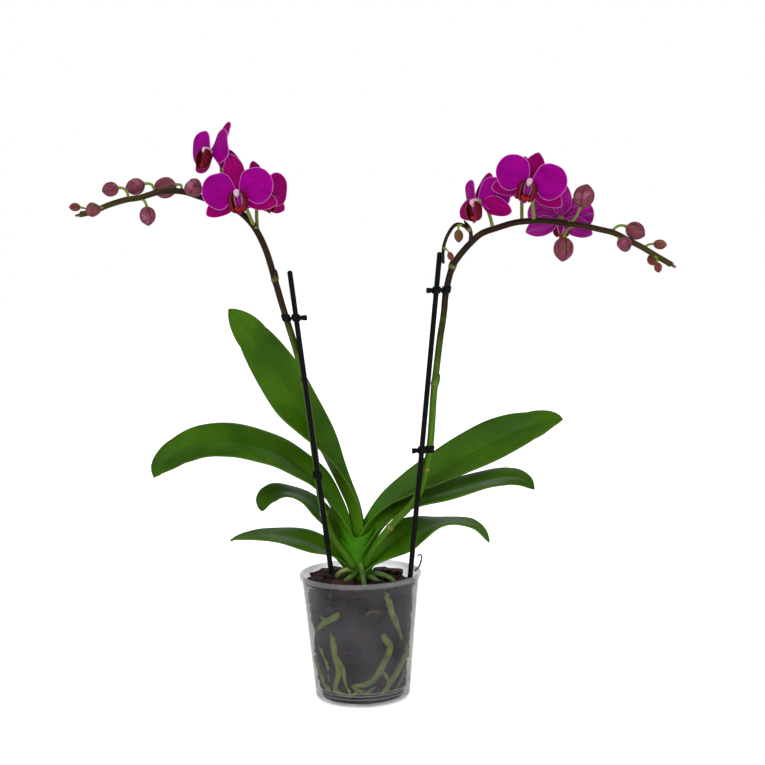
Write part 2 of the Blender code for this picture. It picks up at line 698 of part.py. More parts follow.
# Middle, way the tip points, length and width (millimetres), and where the stalk leaves the spike.
BUDS = {
    "bud_left_1": ((-229, -22, 504), (-1, -0.3, -0.2), 16, 14, "spike_left", (-214, -19, 499)),
    "bud_left_2": ((-208, -5, 507), (-1, -0.1, -0.25), 19, 16, "spike_left", (-190, -8, 506)),
    "bud_left_3": ((-181, 4, 505), (-1, 0.2, -0.25), 24, 20, "spike_left", (-163, -4, 505)),
    "bud_left_4": ((-149, -27, 504), (0.3, -1, 0.15), 20, 17, "spike_left", (-157, -15, 500)),
    "bud_left_5": ((-195, -18, 478), (0.1, -0.3, -1), 19, 15, "spike_left", (-199, -15, 488)),
    "bud_left_6": ((-244, -33, 485), (-0.3, -1, -0.1), 15, 13.5, "spike_left", (-237, -23, 486)),
    "bud_left_7": ((-264, -18, 488), (-1, -0.1, 0.05), 11, 8, "spike_left", (-252, -18, 486)),
    "bud_right_1": ((222, -15, 489), (0.3, -0.3, 1), 23, 20, "spike_right", (211, -10, 468)),
    "bud_right_2": ((203, -4, 438), (-0.1, -0.2, -1), 24, 19, "spike_right", (224, -4, 452)),
    "bud_right_3": ((272, -9, 454), (0.9, -0.1, -0.5), 20, 17, "spike_right", (250, -10, 460)),
    "bud_right_4": ((259, -25, 442), (0.4, -1, -0.3), 16, 14, "spike_right", (255, -16, 449)),
    "bud_right_5": ((295, -13, 441), (1, -0.1, -0.1), 13, 9.5, "spike_right", (281, -14, 442)),
    "bud_right_6": ((289, -4, 426), (0.3, 0.4, -1), 12, 9.5, "spike_right", (283, -8, 434)),
    "bud_right_7": ((291, -24, 419), (0.05, -0.4, -1), 10, 7.5, "spike_right", (290, -19, 427)),
    "bud_branch_1": ((101, -25, 453), (0, -0.1, -1), 12.5, 8.5, "side_branch", (102, -22, 461)),
    "bud_branch_2": ((93, -31, 434), (0.4, -0.4, -1), 9, 6, "side_branch", (88, -29, 441)),
}


def bud(name, middle, way, length, width, spike_name, near):
    middle = Vector(middle) * MM
    way = Vector(way).normalized()
    base = middle - way * length / 2 * MM
    frame = looking_along(middle, middle + way)
    body = ball(name, frame, Vector((width / 2, width / 2, length / 2)) * MM, BUD)
    stalk_radius = min(1.2, width / 9) * MM
    start = stalk_start(spike_name, Vector(near) * MM, stalk_radius)
    bend = base - way * (base - start).length * 0.6
    line = bow(start, bend, base + way * 2 * MM, 5)
    stalk = tube(f"{name}_stalk", line, (stalk_radius, stalk_radius), BUD, sides=6)
    return fuse(body, stalk)


# ---------- put together ----------

pot()
crown()
holes = [
    rod("crown_hole", Matrix.Translation(CROWN_AT + Vector((0, 0, 97.4 * MM))), 7.6 * MM, 40 * MM,
        BARK, 12, cutters),
]
for stake_name, ends in STAKES.items():
    stake(stake_name)
    foot, top = millimetres([ends["foot"], ends["top"]])
    below = foot - (top - foot).normalized() * GAP
    holes.append(
        rod(f"{stake_name}_hole", looking_along(below, top), STAKE_RADIUS + GAP, 0.12, BARK, 10, cutters)
    )
for root_name, (inner, wall) in ROOTS.items():
    tube(root_name, root_path(inner, wall), (ROOT_RADIUS * 0.8, ROOT_RADIUS), ROOT)
    channel = (ROOT_RADIUS * 0.8 + 1.4 * GAP, ROOT_RADIUS + 1.4 * GAP)
    path = root_path(inner, wall)
    path[0] -= (path[1] - path[0]).normalized() * GAP
    path[-1] += (path[-1] - path[-2]).normalized() * GAP
    holes.append(tube(f"{root_name}_channel", path, channel, ROOT, cutters))
aerial = through(millimetres(AERIAL_ROOT), 9)
tube("root_aerial", aerial, (2.2 * MM, 2.6 * MM), ROOT)
aerial[-1] += (aerial[-1] - aerial[-2]).normalized() * GAP
holes.append(tube("aerial_channel", aerial, (2.2 * MM + GAP, 2.6 * MM + GAP), ROOT, cutters))
bark(holes)
for i, spec in enumerate(CHIPS):
    chip(i + 1, *spec)
for leaf_name, spec in LEAVES.items():
    leaf(leaf_name, **spec)
for spike_name in SPIKES:
    spike(spike_name)
for clip_name, spec in CLIPS.items():
    clip(clip_name, *spec)
for flower_name, spec in FLOWERS.items():
    flower(flower_name, spec)
for bud_name, spec in BUDS.items():
    bud(bud_name, *spec)
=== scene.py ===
import math
import random

import bmesh
import bpy
from mathutils import Matrix, Vector, noise


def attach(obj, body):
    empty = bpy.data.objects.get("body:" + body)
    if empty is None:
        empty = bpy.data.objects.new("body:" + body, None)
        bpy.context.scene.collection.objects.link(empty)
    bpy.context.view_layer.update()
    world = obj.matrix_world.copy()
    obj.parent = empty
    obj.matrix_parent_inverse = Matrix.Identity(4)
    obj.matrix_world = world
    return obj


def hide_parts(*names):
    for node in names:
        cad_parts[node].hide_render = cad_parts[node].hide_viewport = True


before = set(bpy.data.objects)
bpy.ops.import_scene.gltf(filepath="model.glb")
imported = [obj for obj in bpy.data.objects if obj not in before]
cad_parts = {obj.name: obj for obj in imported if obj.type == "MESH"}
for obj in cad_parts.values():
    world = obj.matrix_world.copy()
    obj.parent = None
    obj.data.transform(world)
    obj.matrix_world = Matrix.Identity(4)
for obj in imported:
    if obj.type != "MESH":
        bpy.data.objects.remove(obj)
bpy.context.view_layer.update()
mm = 0.001
print("frame loaded:", len(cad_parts), "nodes")


# camera, light and floor

view = {
    "camera": (0.0258, -1.5, 0.46),
    "aim": (0.0258, 0.0, 0.3122),
    "roll": 1.2,
    "lens": 72.66,
    "sky": 0.5,  # how much the pale surroundings light the plant
    "keyPower": 15.0,
    "fillPower": 5.0,
    "stripPower": 2.0,
    "floorTone": 0.86,
    "floorSize": 9.0,
    "floorGlow": 0.25,  # the floor's glow as a light, and when it is looked at
    "floorSeen": 0.8,
}


def addLight(name, at, aim, size, power, tall=None):
    lamp = bpy.data.lights.new(name, "AREA")
    lamp.energy = power
    lamp.size = size
    if tall:
        lamp.shape = "RECTANGLE"
        lamp.size_y = tall
    thing = bpy.data.objects.new(name, lamp)
    thing.location = at
    thing.rotation_euler = (Vector(aim) - Vector(at)).to_track_quat("-Z", "Y").to_euler()
    bpy.context.scene.collection.objects.link(thing)
    return thing


def buildStudio():
    scene = bpy.context.scene
    lens = bpy.data.cameras.new("camera")
    lens.sensor_width = 36.0
    lens.lens = view["lens"]
    camera = bpy.data.objects.new("camera", lens)
    scene.collection.objects.link(camera)
    at, aim = Vector(view["camera"]), Vector(view["aim"])
    forward = (aim - at).normalized()
    turn = math.radians(view["roll"])
    level = Vector((1, 0, 0))
    upright = level.cross(forward)
    right = level * math.cos(turn) - upright * math.sin(turn)
    up = upright * math.cos(turn) + level * math.sin(turn)
    placed = Matrix((right, up, -forward)).transposed().to_4x4()
    placed.translation = at
    camera.matrix_world = placed
    scene.camera = camera
    scene.view_settings.view_transform = "Standard"

    sky = bpy.data.worlds.new("sky")
    sky.use_nodes = True
    tree = sky.node_tree
    tree.nodes.clear()
    dim = make(tree, "Background", {"Color": (1, 1, 1, 1), "Strength": view["sky"]})
    seen = make(tree, "Background", {"Color": (1, 1, 1, 1), "Strength": 1.0})
    ray = make(tree, "LightPath", out="Is Camera Ray")  # white when looked at, dimmer as light
    both = make(tree, "MixShader", {0: ray, 1: dim, 2: seen})
    make(tree, "OutputWorld", {"Surface": both}, out=None)
    scene.world = sky

    addLight("key", (-0.9, -1.5, 1.7), (0, 0, 0.3), 1.0, view["keyPower"])
    addLight("fill", (1.4, -1.2, 0.9), (0, 0, 0.3), 1.2, view["fillPower"])
    addLight("back", (0.3, 1.4, 1.5), (0, 0, 0.35), 1.0, view["fillPower"])

    strip = addLight("strip", (0.03, -1.3, 0.1), (0, 0, 0.08), 0.1, view["stripPower"], 0.7)
    strip.visible_camera = False  # only its soft line down the pot shows

    shape = bmesh.new()
    bmesh.ops.create_grid(shape, x_segments=8, y_segments=8, size=view["floorSize"])
    mesh = bpy.data.meshes.new("floor")
    shape.to_mesh(mesh)
    shape.free()
    floor = bpy.data.objects.new("floor", mesh)
    scene.collection.objects.link(floor)
    material, tree, shader = newMaterial("floorPaint", roughness=0.7)
    tone = view["floorTone"]
    shader.inputs["Base Color"].default_value = (tone, tone, tone, 1)
    shader.inputs["Emission Color"].default_value = (1, 1, 1, 1)
    ray = make(tree, "LightPath", out="Is Camera Ray")
    glow = spread(tree, ray, view["floorGlow"], view["floorSeen"])
    tree.links.new(glow, shader.inputs["Emission Strength"])
    mesh.materials.append(material)


# small helpers for materials


def hue(red, green, blue):  # display values 0 to 255 as a linear colour
    parts = [c / 255 for c in (red, green, blue)]
    return tuple(c / 12.92 if c < 0.04045 else ((c + 0.055) / 1.055) ** 2.4 for c in parts) + (1,)


def make(tree, kind, feeds=None, out=0, **settings):
    made = tree.nodes.new("ShaderNode" + kind)
    for name, value in settings.items():
        setattr(made, name, value)
    for name, value in (feeds or {}).items():
        if isinstance(value, bpy.types.NodeSocket):
            tree.links.new(value, made.inputs[name])
        else:
            made.inputs[name].default_value = value
    return None if out is None else made.outputs[out]


def newMaterial(name, roughness, specular=0.5):
    material = bpy.data.materials.new(name)
    material.use_nodes = True
    shader = material.node_tree.nodes["Principled BSDF"]
    shader.inputs["Roughness"].default_value = roughness
    shader.inputs["Specular IOR Level"].default_value = specular
    return material, material.node_tree, shader


def attribute(tree, name):
    return make(tree, "Attribute", out="Vector", attribute_name=name)


def parts(tree, vector):  # the three numbers of a vector
    node = tree.nodes.new("ShaderNodeSeparateXYZ")
    tree.links.new(vector, node.inputs[0])
    return node.outputs


def sums(tree, kind, first, second=0.0):
    return make(tree, "Math", {0: first, 1: second}, operation=kind)


def scaled(tree, vector, sizes):
    return make(tree, "VectorMath", {0: vector, 1: sizes}, operation="MULTIPLY")


def speckle(tree, vector, scale, detail=3.0, rough=0.55):
    feeds = {"Vector": vector, "Scale": scale, "Detail": detail, "Roughness": rough}
    return make(tree, "TexNoise", feeds, out="Fac")


def spread(tree, value, low, high, fromLow=0.0, fromHigh=1.0):  # moved to another range, held inside it
    feeds = {0: value, 1: fromLow, 2: fromHigh, 3: low, 4: high}
    return make(tree, "MapRange", feeds, interpolation_type="SMOOTHSTEP")


def colours(tree, factor, stops):
    node = tree.nodes.new("ShaderNodeValToRGB")
    band = node.color_ramp
    band.elements[0].position, band.elements[0].color = stops[0]
    band.elements[1].position, band.elements[1].color = stops[-1]
    for at, colour in stops[1:-1]:
        band.elements.new(at).color = colour
    tree.links.new(factor, node.inputs["Fac"])
    return node.outputs["Color"]


def blended(tree, factor, first, second, kind="MIX"):
    node = tree.nodes.new("ShaderNodeMix")
    node.data_type = "RGBA"
    node.blend_type = kind
    for index, value in ((0, factor), (6, first), (7, second)):
        if isinstance(value, bpy.types.NodeSocket):
            tree.links.new(value, node.inputs[index])
        else:
            node.inputs[index].default_value = value
    return node.outputs[2]


def finishMaterial(tree, shader, colour, roughness=None, height=None, strength=0.3, distance=0.0005):
    tree.links.new(colour, shader.inputs["Base Color"])
    if roughness is not None:
        tree.links.new(roughness, shader.inputs["Roughness"])
    if height is not None:
        relief = make(tree, "Bump", {"Height": height, "Strength": strength, "Distance": distance})
        tree.links.new(relief, shader.inputs["Normal"])


# small helpers for shapes


def smooth(t):
    t = min(max(t, 0.0), 1.0)
    return t * t * (3 - 2 * t)


def between(a, b, c, d, t):  # a smooth step from b to c
    bend = (a * 2 - b * 5 + c * 4 - d) * t * t + (b * 3 - a - c * 3 + d) * t**3
    return (b * 2 + (c - a) * t + bend) * 0.5


def alongList(values, t):  # a smooth value from evenly spaced ones
    at = min(max(t, 0.0), 1.0) * (len(values) - 1)
    k = min(int(at), len(values) - 2)
    four = [values[min(max(k + i, 0), len(values) - 1)] for i in (-1, 0, 1, 2)]
    return between(*four, at - k)


def curveThrough(points, count):  # evenly spaced points on a smooth curve, millimetres in, metres out
    points = [Vector(p) * mm for p in points]
    padded = [points[0] * 2 - points[1], *points, points[-1] * 2 - points[-2]]
    steps = 12  # between two points, before they are spaced evenly
    spans = range(len(points) - 1)
    fine = [between(*padded[k : k + 4], i / steps) for k in spans for i in range(steps)] + [points[-1]]
    run = [0.0]
    for a, b in zip(fine, fine[1:]):
        run.append(run[-1] + (b - a).length)
    result, k = [], 0
    for i in range(count):
        goal = run[-1] * i / (count - 1)
        while k < len(fine) - 2 and run[k + 1] < goal:
            k += 1
        result.append(fine[k].lerp(fine[k + 1], (goal - run[k]) / (run[k + 1] - run[k])))
    return result


def framesAlong(line):  # for each point: the point, its direction and two sides that don't twist
    frames, side = [], None
    for i, point in enumerate(line):
        ahead = (line[min(i + 1, len(line) - 1)] - line[max(i - 1, 0)]).normalized()
        if side is None:
            side = ahead.orthogonal()
        side = (side - ahead * side.dot(ahead)).normalized()
        frames.append((point, ahead, side, ahead.cross(side)))
    return frames


def newShape():  # with two values that the materials read at each point
    shape = bmesh.new()
    shape.verts.layers.float_vector.new("grain")
    shape.verts.layers.float_vector.new("mark")
    return shape


def layersOf(shape):
    layers = shape.verts.layers.float_vector
    return layers["grain"], layers["mark"]


def spun(shape, outline, steps, cuts=0):  # radii and heights in millimetres, turned all the way round
    chain = [shape.verts.new((r * mm, 0, h * mm)) for r, h in outline]
    edges = [shape.edges.new(pair) for pair in zip(chain, chain[1:])]
    if cuts:
        bmesh.ops.subdivide_edges(shape, edges=edges, cuts=cuts)
    bmesh.ops.spin(
        shape, geom=shape.verts[:] + shape.edges[:], cent=(0, 0, 0), axis=(0, 0, 1),
        angle=math.tau, steps=steps, use_merge=True
    )


def surface(shape, across, along, place, look=0):
    # a grid whose points, u in -1..1 and v in 0..1, are moved to place(u, v); meeting edges are welded
    made = bmesh.ops.create_grid(shape, x_segments=across, y_segments=along, size=1.0)["verts"]
    grain, mark = layersOf(shape)
    for vert in made:
        vert.co, vert[grain], vert[mark] = place(vert.co.x, (vert.co.y + 1) / 2)
        for face in vert.link_faces:
            face.material_index = look
            face.smooth = True
    bmesh.ops.remove_doubles(shape, verts=made, dist=1e-6)


def tube(shape, line, radiusAt, sides=12, look=0, markAt=None):
    # a round stalk along the line with rounded ends; radiusAt(t, angle) is in metres
    frames = framesAlong(line)
    last = len(frames) - 1
    caps = [(0.0, -0.6), (0.6, -0.42), (0.88, -0.2)]
    rows = [(0, f, s) for f, s in caps] + [(i, 1.0, 0.0) for i in range(last + 1)]
    rows += [(last, f, -s) for f, s in reversed(caps)]
    length = sum((b - a).length for a, b in zip(line, line[1:]))

    def place(u, v):
        i, factor, shift = rows[round(v * (len(rows) - 1))]
        point, ahead, side, up = frames[i]
        angle = math.pi * (u + 1)
        t = i / last
        r = radiusAt(t, angle)
        way = side * math.cos(angle) + up * math.sin(angle)
        co = point + way * r * factor + ahead * shift * r
        marks = markAt(t, co) if markAt else (t, co.z, 0.0)
        return co, (math.cos(angle), math.sin(angle), t * length * 100), marks

    surface(shape, sides, len(rows) - 1, place, look)


def ball(shape, matrix, size, look=0, around=20, rows=14, warp=None):
    # an egg whose poles are on its own Z; warp(angle, v) gives a radius factor and two marks
    def place(u, v):
        angle, rise = math.pi * (u + 1), math.pi * v
        factor, second, third = warp(angle, v) if warp else (1.0, 0.0, 0.0)
        east, north, out = math.cos(angle), math.sin(angle), math.sin(rise)
        ring = out * factor if 0 < v < 1 else 0.0
        local = Vector((east * ring * size[0], north * ring * size[1], -math.cos(rise) * size[2]))
        return matrix @ local, (east * out, north * out, v), (v, second, third)

    surface(shape, around, rows, place, look)


def facingTo(start, way):
    return Matrix.Translation(start) @ Vector(way).normalized().to_track_quat("Z", "Y").to_matrix().to_4x4()


def publish(name, shape, materials, slotName, *nodes, thick=0.0, backLook=0):
    # an open sheet gets a thickness; a closed shape has its faces turned outwards
    if not thick:
        bmesh.ops.recalc_face_normals(shape, faces=shape.faces)
    mesh = bpy.data.meshes.new(name)
    shape.to_mesh(mesh)
    shape.free()
    for material in materials:
        mesh.materials.append(material)
    piece = bpy.data.objects.new(name, mesh)
    bpy.context.scene.collection.objects.link(piece)
    if thick:
        wall = piece.modifiers.new("thickness", "SOLIDIFY")
        wall.thickness = thick
        wall.offset = 0.0
        wall.material_offset = backLook
    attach(piece, "root")
    if nodes:
        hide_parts(*nodes)


buildStudio()
print("camera, light and floor made")


# pot

pot = {
    "height": 125.0,
    "rimRadius": 60.0,
    "mouthRadius": 57.2,  # inside the wall at the top
    "footRadius": 45.6,  # inside the wall at the floor
    "wall": 1.1,
    "floorThick": 1.6,
    "rimDrop": 5.0,
    "footRound": 5.0,
    "steps": (9.0, 12.5, 15.0),  # heights of the fine moulded lines near the foot
    "stepDepth": 0.4,
    "drainHoles": 6,
    "drainRing": 29.0,
    "drainRadius": 4.0,
    "plateInset": 3.0,  # the floor plate ends this far inside the foot of the wall
    "footRing": 10.0,  # width of the ring that the pot stands on, with its rounding
    "segments": 120,
    "milk": 0.25,  # how frosted each face of the wall is
    "tone": (92, 92, 98),
    # colour of the painted haze at the left and right sides of the wall
    "paintedSideHazeTone": (108, 103, 98),
}


def wallRadius(height):
    return pot["footRadius"] + (pot["mouthRadius"] - pot["footRadius"]) * height / pot["height"]


def clearPlastic():
    material, tree, shader = newMaterial("clearPlastic", roughness=0.22, specular=0.4)
    place = make(tree, "TexCoord", out="Object")
    cloud = speckle(tree, place, 26.0, 4.0)
    scuffs = speckle(tree, scaled(tree, place, (300.0, 300.0, 30.0)), 1.0, 2.0)
    tint = colours(tree, cloud, [(0.35, hue(70, 70, 74)), (0.65, hue(*pot["tone"]))])
    rough = spread(tree, scuffs, 0.12, 0.28, 0.35, 0.7)
    across, _, heights = parts(tree, place)
    # painted haze: the wall is painted greyer and milkier towards its left and right sides, for the edge-on
    # look through more plastic
    paintedSideHaze = spread(tree, sums(tree, "ABSOLUTE", across), 0.0, 1.0, 0.03, 0.056)
    lines = None
    for step in pot["steps"]:  # painted highlights: the fine moulded lines are painted lighter and milkier
        gap = sums(tree, "ABSOLUTE", sums(tree, "SUBTRACT", heights, step * mm))
        line = spread(tree, gap, 1.0, 0.0, 0.0, 0.0007)
        lines = sums(tree, "MAXIMUM", lines, line) if lines else line
    # the top of the rim is painted lighter and milkier: partly its own light-grey plastic, partly painted
    # highlight
    rimmed = spread(tree, heights, 0.0, 0.55, 0.1195, 0.1208)
    # the painted highlights on the lines and the rim lighten the tone and make the wall milkier
    bright = sums(tree, "MAXIMUM", lines, rimmed)
    tone = blended(tree, sums(tree, "MULTIPLY", paintedSideHaze, 0.8), tint, hue(*pot["paintedSideHazeTone"]))
    tone = blended(tree, bright, tone, hue(176, 176, 180))
    share = sums(tree, "ADD", spread(tree, cloud, 0.8, 1.2, 0.3, 0.7), sums(tree, "MULTIPLY", paintedSideHaze, 0.7))
    share = sums(tree, "ADD", share, sums(tree, "MULTIPLY", bright, 0.7))
    tree.links.new(sums(tree, "MULTIPLY", share, pot["milk"]), shader.inputs["Alpha"])
    finishMaterial(tree, shader, tone, rough, scuffs, 0.06, 0.0003)
    return material


def byPlace(edge):
    return tuple(edge.verts[0].co) + tuple(edge.verts[1].co)


def discAt(shape, segments, radius, at):  # the edges of a circle, in millimetres
    made = bmesh.ops.create_circle(shape, segments=segments, radius=radius * mm)["verts"]
    bmesh.ops.translate(shape, verts=made, vec=Vector(at) * mm)
    return {e for v in made for e in v.link_edges}


def potPlate(shape, height, radius):  # a disc with drain holes, whose edges it gives back
    border = discAt(shape, pot["segments"], radius, (0, 0, height))
    holes = []
    for i in range(pot["drainHoles"]):
        a = math.tau * (i + 0.4) / pot["drainHoles"]
        at = (math.cos(a) * pot["drainRing"], math.sin(a) * pot["drainRing"], height)
        holes.append(discAt(shape, 24, pot["drainRadius"], at))
    everyEdge = sorted(border.union(*holes), key=byPlace)
    bmesh.ops.triangle_fill(shape, edges=everyEdge, use_beauty=True)
    return holes


def buildPot():
    top, wall, rim, bend = pot["height"], pot["wall"], pot["rimRadius"], pot["footRound"]
    under = top - pot["rimDrop"]
    plateRadius = pot["footRadius"] - pot["plateInset"]
    inner = [(plateRadius, pot["floorThick"])]
    inner += [(wallRadius(pot["floorThick"] + 3), pot["floorThick"] + 3)]
    inner += [(wallRadius(h), h) for h in (20, 40, 60, 80, 100, 118)]
    inner += [(wallRadius(top - 0.8), top - 0.8)]
    inner += [(wallRadius(top) + 0.3, top - 0.2), (wallRadius(top) + 0.9, top)]
    outer = [(rim - 0.9, top), (rim - 0.25, top - 0.3), (rim, top - 1)]
    outer += [(rim, under + 0.9), (rim - 0.3, under + 0.2), (rim - 0.9, under)]
    outer += [(wallRadius(under) + wall, under - 0.2)]
    outer += [(wallRadius(h) + wall, h) for h in (100, 80, 60, 40, 24)]
    for i, h in enumerate(reversed(pot["steps"])):
        r = wallRadius(h) + wall - i * pot["stepDepth"] * 0.35
        outer += [(r, h + 0.35), (r - pot["stepDepth"] * 0.5, h), (r - pot["stepDepth"] * 0.2, h - 0.5)]
    foot = wallRadius(bend) + wall
    angles = [i * math.pi / 12 for i in range(7)]
    outer += [(foot - bend + bend * math.cos(a), bend - bend * math.sin(a)) for a in angles]
    outer += [(foot - pot["footRing"] + 1, 0.0), (foot - pot["footRing"], 0.8)]
    shape = newShape()
    spun(shape, inner + outer, pot["segments"])

    # the base: two plates with drain holes, their rims bridged
    low = potPlate(shape, 0.8, foot - pot["footRing"])
    high = potPlate(shape, pot["floorThick"], plateRadius)
    for a, b in zip(low, high):
        bmesh.ops.bridge_loops(shape, edges=sorted(a | b, key=byPlace))
    bmesh.ops.remove_doubles(shape, verts=shape.verts, dist=1e-5)
    grain, _ = layersOf(shape)
    for vert in shape.verts:
        vert[grain] = vert.co
    for face in shape.faces:
        face.smooth = True
    publish("pot_shell", shape, [clearPlastic()], "clear_plastic", "pot")


buildPot()
print("pot made")


# bark

bark = {
    "top": 114.0,
    "heapedLeft": 9.0,  # how much higher the heap stands on the left
    "coreInset": 5.0,
    "wallChips": 330,
    "topChips": 210,
    "chipLength": (7.0, 17.0),
    # chips that stand proud of the heap: place, length and width
    "proud": [(-36, 12, 124, 20, 14), (-45, -12, 122, 16, 11), (-33, -22, 120, 17, 11),
              (-24, 30, 122, 16, 12), (33, 24, 121, 20, 12), (28, -30, 116, 14, 9), (20, 36, 119, 15, 10)],
    "seed": 7,
}


def barkMaterial():
    material, tree, shader = newMaterial("barkChips", roughness=0.85, specular=0.3)
    place = make(tree, "TexCoord", out="Object")
    which = parts(tree, attribute(tree, "mark"))[0]
    flakes = speckle(tree, scaled(tree, attribute(tree, "grain"), (260.0, 260.0, 1400.0)), 1.0, 5.0, 0.65)
    stain = speckle(tree, place, 120.0, 3.0)
    darker = [(0.0, hue(12, 7, 6)), (0.45, hue(34, 16, 12))]
    paler = [(0.8, hue(56, 27, 20)), (1.0, hue(82, 46, 34))]
    base = colours(tree, which, darker + paler)
    rubbed = blended(tree, spread(tree, flakes, 0.0, 0.7, 0.55, 0.8), base, hue(84, 44, 30))
    damp = blended(tree, spread(tree, stain, 0.0, 0.75, 0.45, 0.65), rubbed, hue(14, 9, 7))
    finishMaterial(tree, shader, damp, spread(tree, flakes, 0.55, 0.95, 0.3, 0.7), flakes, 0.8, 0.0012)
    return material


def barkHeight(x, y):
    lumps = noise.noise(Vector((x, y, 3.0)) * 0.06) * 5
    return bark["top"] + bark["heapedLeft"] * smooth(-x / 50) - 5 * smooth(x / 40) * smooth(y / 30) + lumps


def buildBark():
    pick = random.Random(bark["seed"])
    shape = newShape()
    grain, mark = layersOf(shape)
    # a dark core behind the chips: it stands for the packed bark and is painted near-black as painted shade
    # between the chips
    outline = [(0.001, 3.2), (pot["footRadius"] - bark["coreInset"], 3.2)]
    outline += [(wallRadius(h) - bark["coreInset"], h) for h in range(12, 100, 8)]
    outline += [(46, 105), (36, 108), (24, 110), (12, 111), (0.001, 111)]
    spun(shape, outline, 64)
    bmesh.ops.remove_doubles(shape, verts=shape.verts, dist=5e-6)
    for vert in shape.verts:
        push = 1 + 0.03 * noise.noise(vert.co * 160)
        vert.co.x *= push
        vert.co.y *= push
        vert[grain] = vert.co
        # painted shade: the core takes the darkest bark colour
        vert[mark] = (0.1, 0, 0)

    def chip(centre, size, turn, shade):
        made = bmesh.ops.create_cube(shape, size=1.0)["verts"]
        for vert in made:
            vert.co += Vector([pick.uniform(-0.16, 0.16) for _ in range(3)])
        sides = sorted({e for v in made for e in v.link_edges}, key=lambda e: e.index)
        new = bmesh.ops.bevel(
            shape, geom=sides, offset=0.16, affect="EDGES", segments=1, profile=0.5, material=-1
        )["faces"]
        made = list({v for f in new for v in f.verts})
        place = Matrix.Translation(centre) @ turn
        for vert in made:
            vert[grain] = vert.co * 0.012 + centre
            vert[mark] = (shade, 0, 0)
            vert.co = place @ Vector((vert.co.x * size[0], vert.co.y * size[1], vert.co.z * size[2]))

    def anyWay():
        return Matrix.Rotation(pick.uniform(0, math.tau), 4, "Z")

    for _ in range(bark["wallChips"]):
        height = pick.uniform(12, 104)
        a = pick.uniform(0, math.tau)
        long = pick.uniform(*bark["chipLength"])
        size = Vector((long, long * pick.uniform(0.4, 0.8), pick.uniform(2.5, 5))) * mm
        r = wallRadius(height) - 3.4 - pick.uniform(0, 1.6)
        out = Vector((math.cos(a), math.sin(a), 0))
        lie = out.to_track_quat("Z", "Y").to_matrix().to_4x4() @ anyWay()
        lean = Matrix.Rotation(pick.uniform(-0.14, 0.14), 4, "X")
        chip(out * (r - size.z * 400) * mm + Vector((0, 0, height * mm)), size, lie @ lean, pick.random())
    for _ in range(bark["topChips"]):
        a, r = pick.uniform(0, math.tau), 50 * math.sqrt(pick.random())
        x, y = math.cos(a) * r, math.sin(a) * r
        long = pick.uniform(*bark["chipLength"])
        size = Vector((long, long * pick.uniform(0.45, 0.8), pick.uniform(3, 6))) * mm
        lift = pick.uniform(-4, 1.5)
        lean = anyWay() @ Matrix.Rotation(pick.gauss(0, 0.5), 4, "X")
        chip(Vector((x, y, barkHeight(x, y) + lift)) * mm, size, lean, pick.random())
    for x, y, z, long, wide in bark["proud"]:
        lean = anyWay() @ Matrix.Rotation(pick.uniform(-0.6, 0.6), 4, "X")
        chip(Vector((x, y, z - 2)) * mm, Vector((long, wide, 6)) * mm, lean, pick.uniform(0.3, 0.9))
    chipNodes = [f"bark_chip_{i}" for i in (1, 2, 3, 4)]
    publish("bark_heap", shape, [barkMaterial()], "bark", "bark", *chipNodes)


buildBark()
print("bark made")


# roots

roots = {
    "radius": 3.6,
    "clear": 0.5,  # space left between the wall and the points of a root
    "least": 0.9,  # space left once its whole curve is pulled inwards
    "twigRadius": 2.3,
    "aerialRadius": 2.9,
    "runs": {
        "root_front_left": [(-16, -14, 92), [(-27, 92), (-44, 84), (-64, 72)]],
        "root_left": [(-12, -18, 66), [(-35, 68), (-33, 50), (-30, 34), (-39, 16)]],
        "root_hook": [(14, -16, 72), [(27, 70), (36, 58), (24, 38), (10, 25), (-12, 22)]],
        "root_right": [(20, -14, 100), [(33, 104), (40, 88), (50, 72)]],
        "root_low_right": [(22, -6, 56), [(74, 52), (56, 36), (38, 22), (26, 12)]],
        "root_low_left": [(-24, 0, 40), [(-82, 40), (-62, 26), (-52, 14)]],
        "root_back": [(0, 22, 80), [(176, 76), (160, 52), (140, 34), (128, 14)]],
    },
    # thin branches seen along the wall, as degrees round from the front and heights
    "twigs": [
        [(-33, 50), (-24, 40), (-22, 26), (-15, 12)],
        [(24, 38), (33, 28), (36, 12)],
        [(-44, 84), (-52, 90), (-60, 88)],
        [(-39, 16), (-28, 13), (-16, 12), (-4, 17)],
        [(30, 112), (34, 96), (44, 84), (56, 64)],
        [(-12, 22), (-4, 17), (6, 15), (16, 20)],
        [(-60, 56), (-50, 44), (-46, 30), (-50, 14)],
        [(70, 30), (58, 20), (46, 12)],
    ],
    # dry pinkish bits, placed the same way
    "russet": [
        [(-38, 74), (-33, 66), (-30, 56)],
        [(28, 72), (31, 66), (33, 58)],
        [(6, 94), (14, 97), (20, 95)],
    ],
    "dryCurl": [
        [(54, 4, 124), (58, 3, 128), (60, 3, 133), (61, 2, 138), (59, 1, 141), (57, 1, 139)],
        [(30, 14, 119), (36, 12, 123), (41, 10, 122)],
    ],
    "aerial": [
        [(0, -1, 132), (2, -7, 128), (3, -14, 120), (5, -24, 110), (8, -32, 96)],
        [(-8, 2, 126), (-16, -4, 127), (-24, -8, 122), (-31, -9, 113), (-34, -8, 104)],
        [(8, 4, 122), (17, -2, 123), (27, -4, 120), (36, -6, 113), (39, -6, 104)],
        [(-4, -2, 124), (-10, -12, 122), (-17, -20, 118), (-26, -26, 113), (-30, -28, 104)],
        [(6, 0, 121), (13, -10, 120), (19, -18, 116), (22, -24, 106)],
    ],
}


def onWall(degrees, height):
    a = math.radians(degrees)
    r = wallRadius(height) - roots["radius"] - roots["clear"]
    return (math.sin(a) * r, -math.cos(a) * r, height)


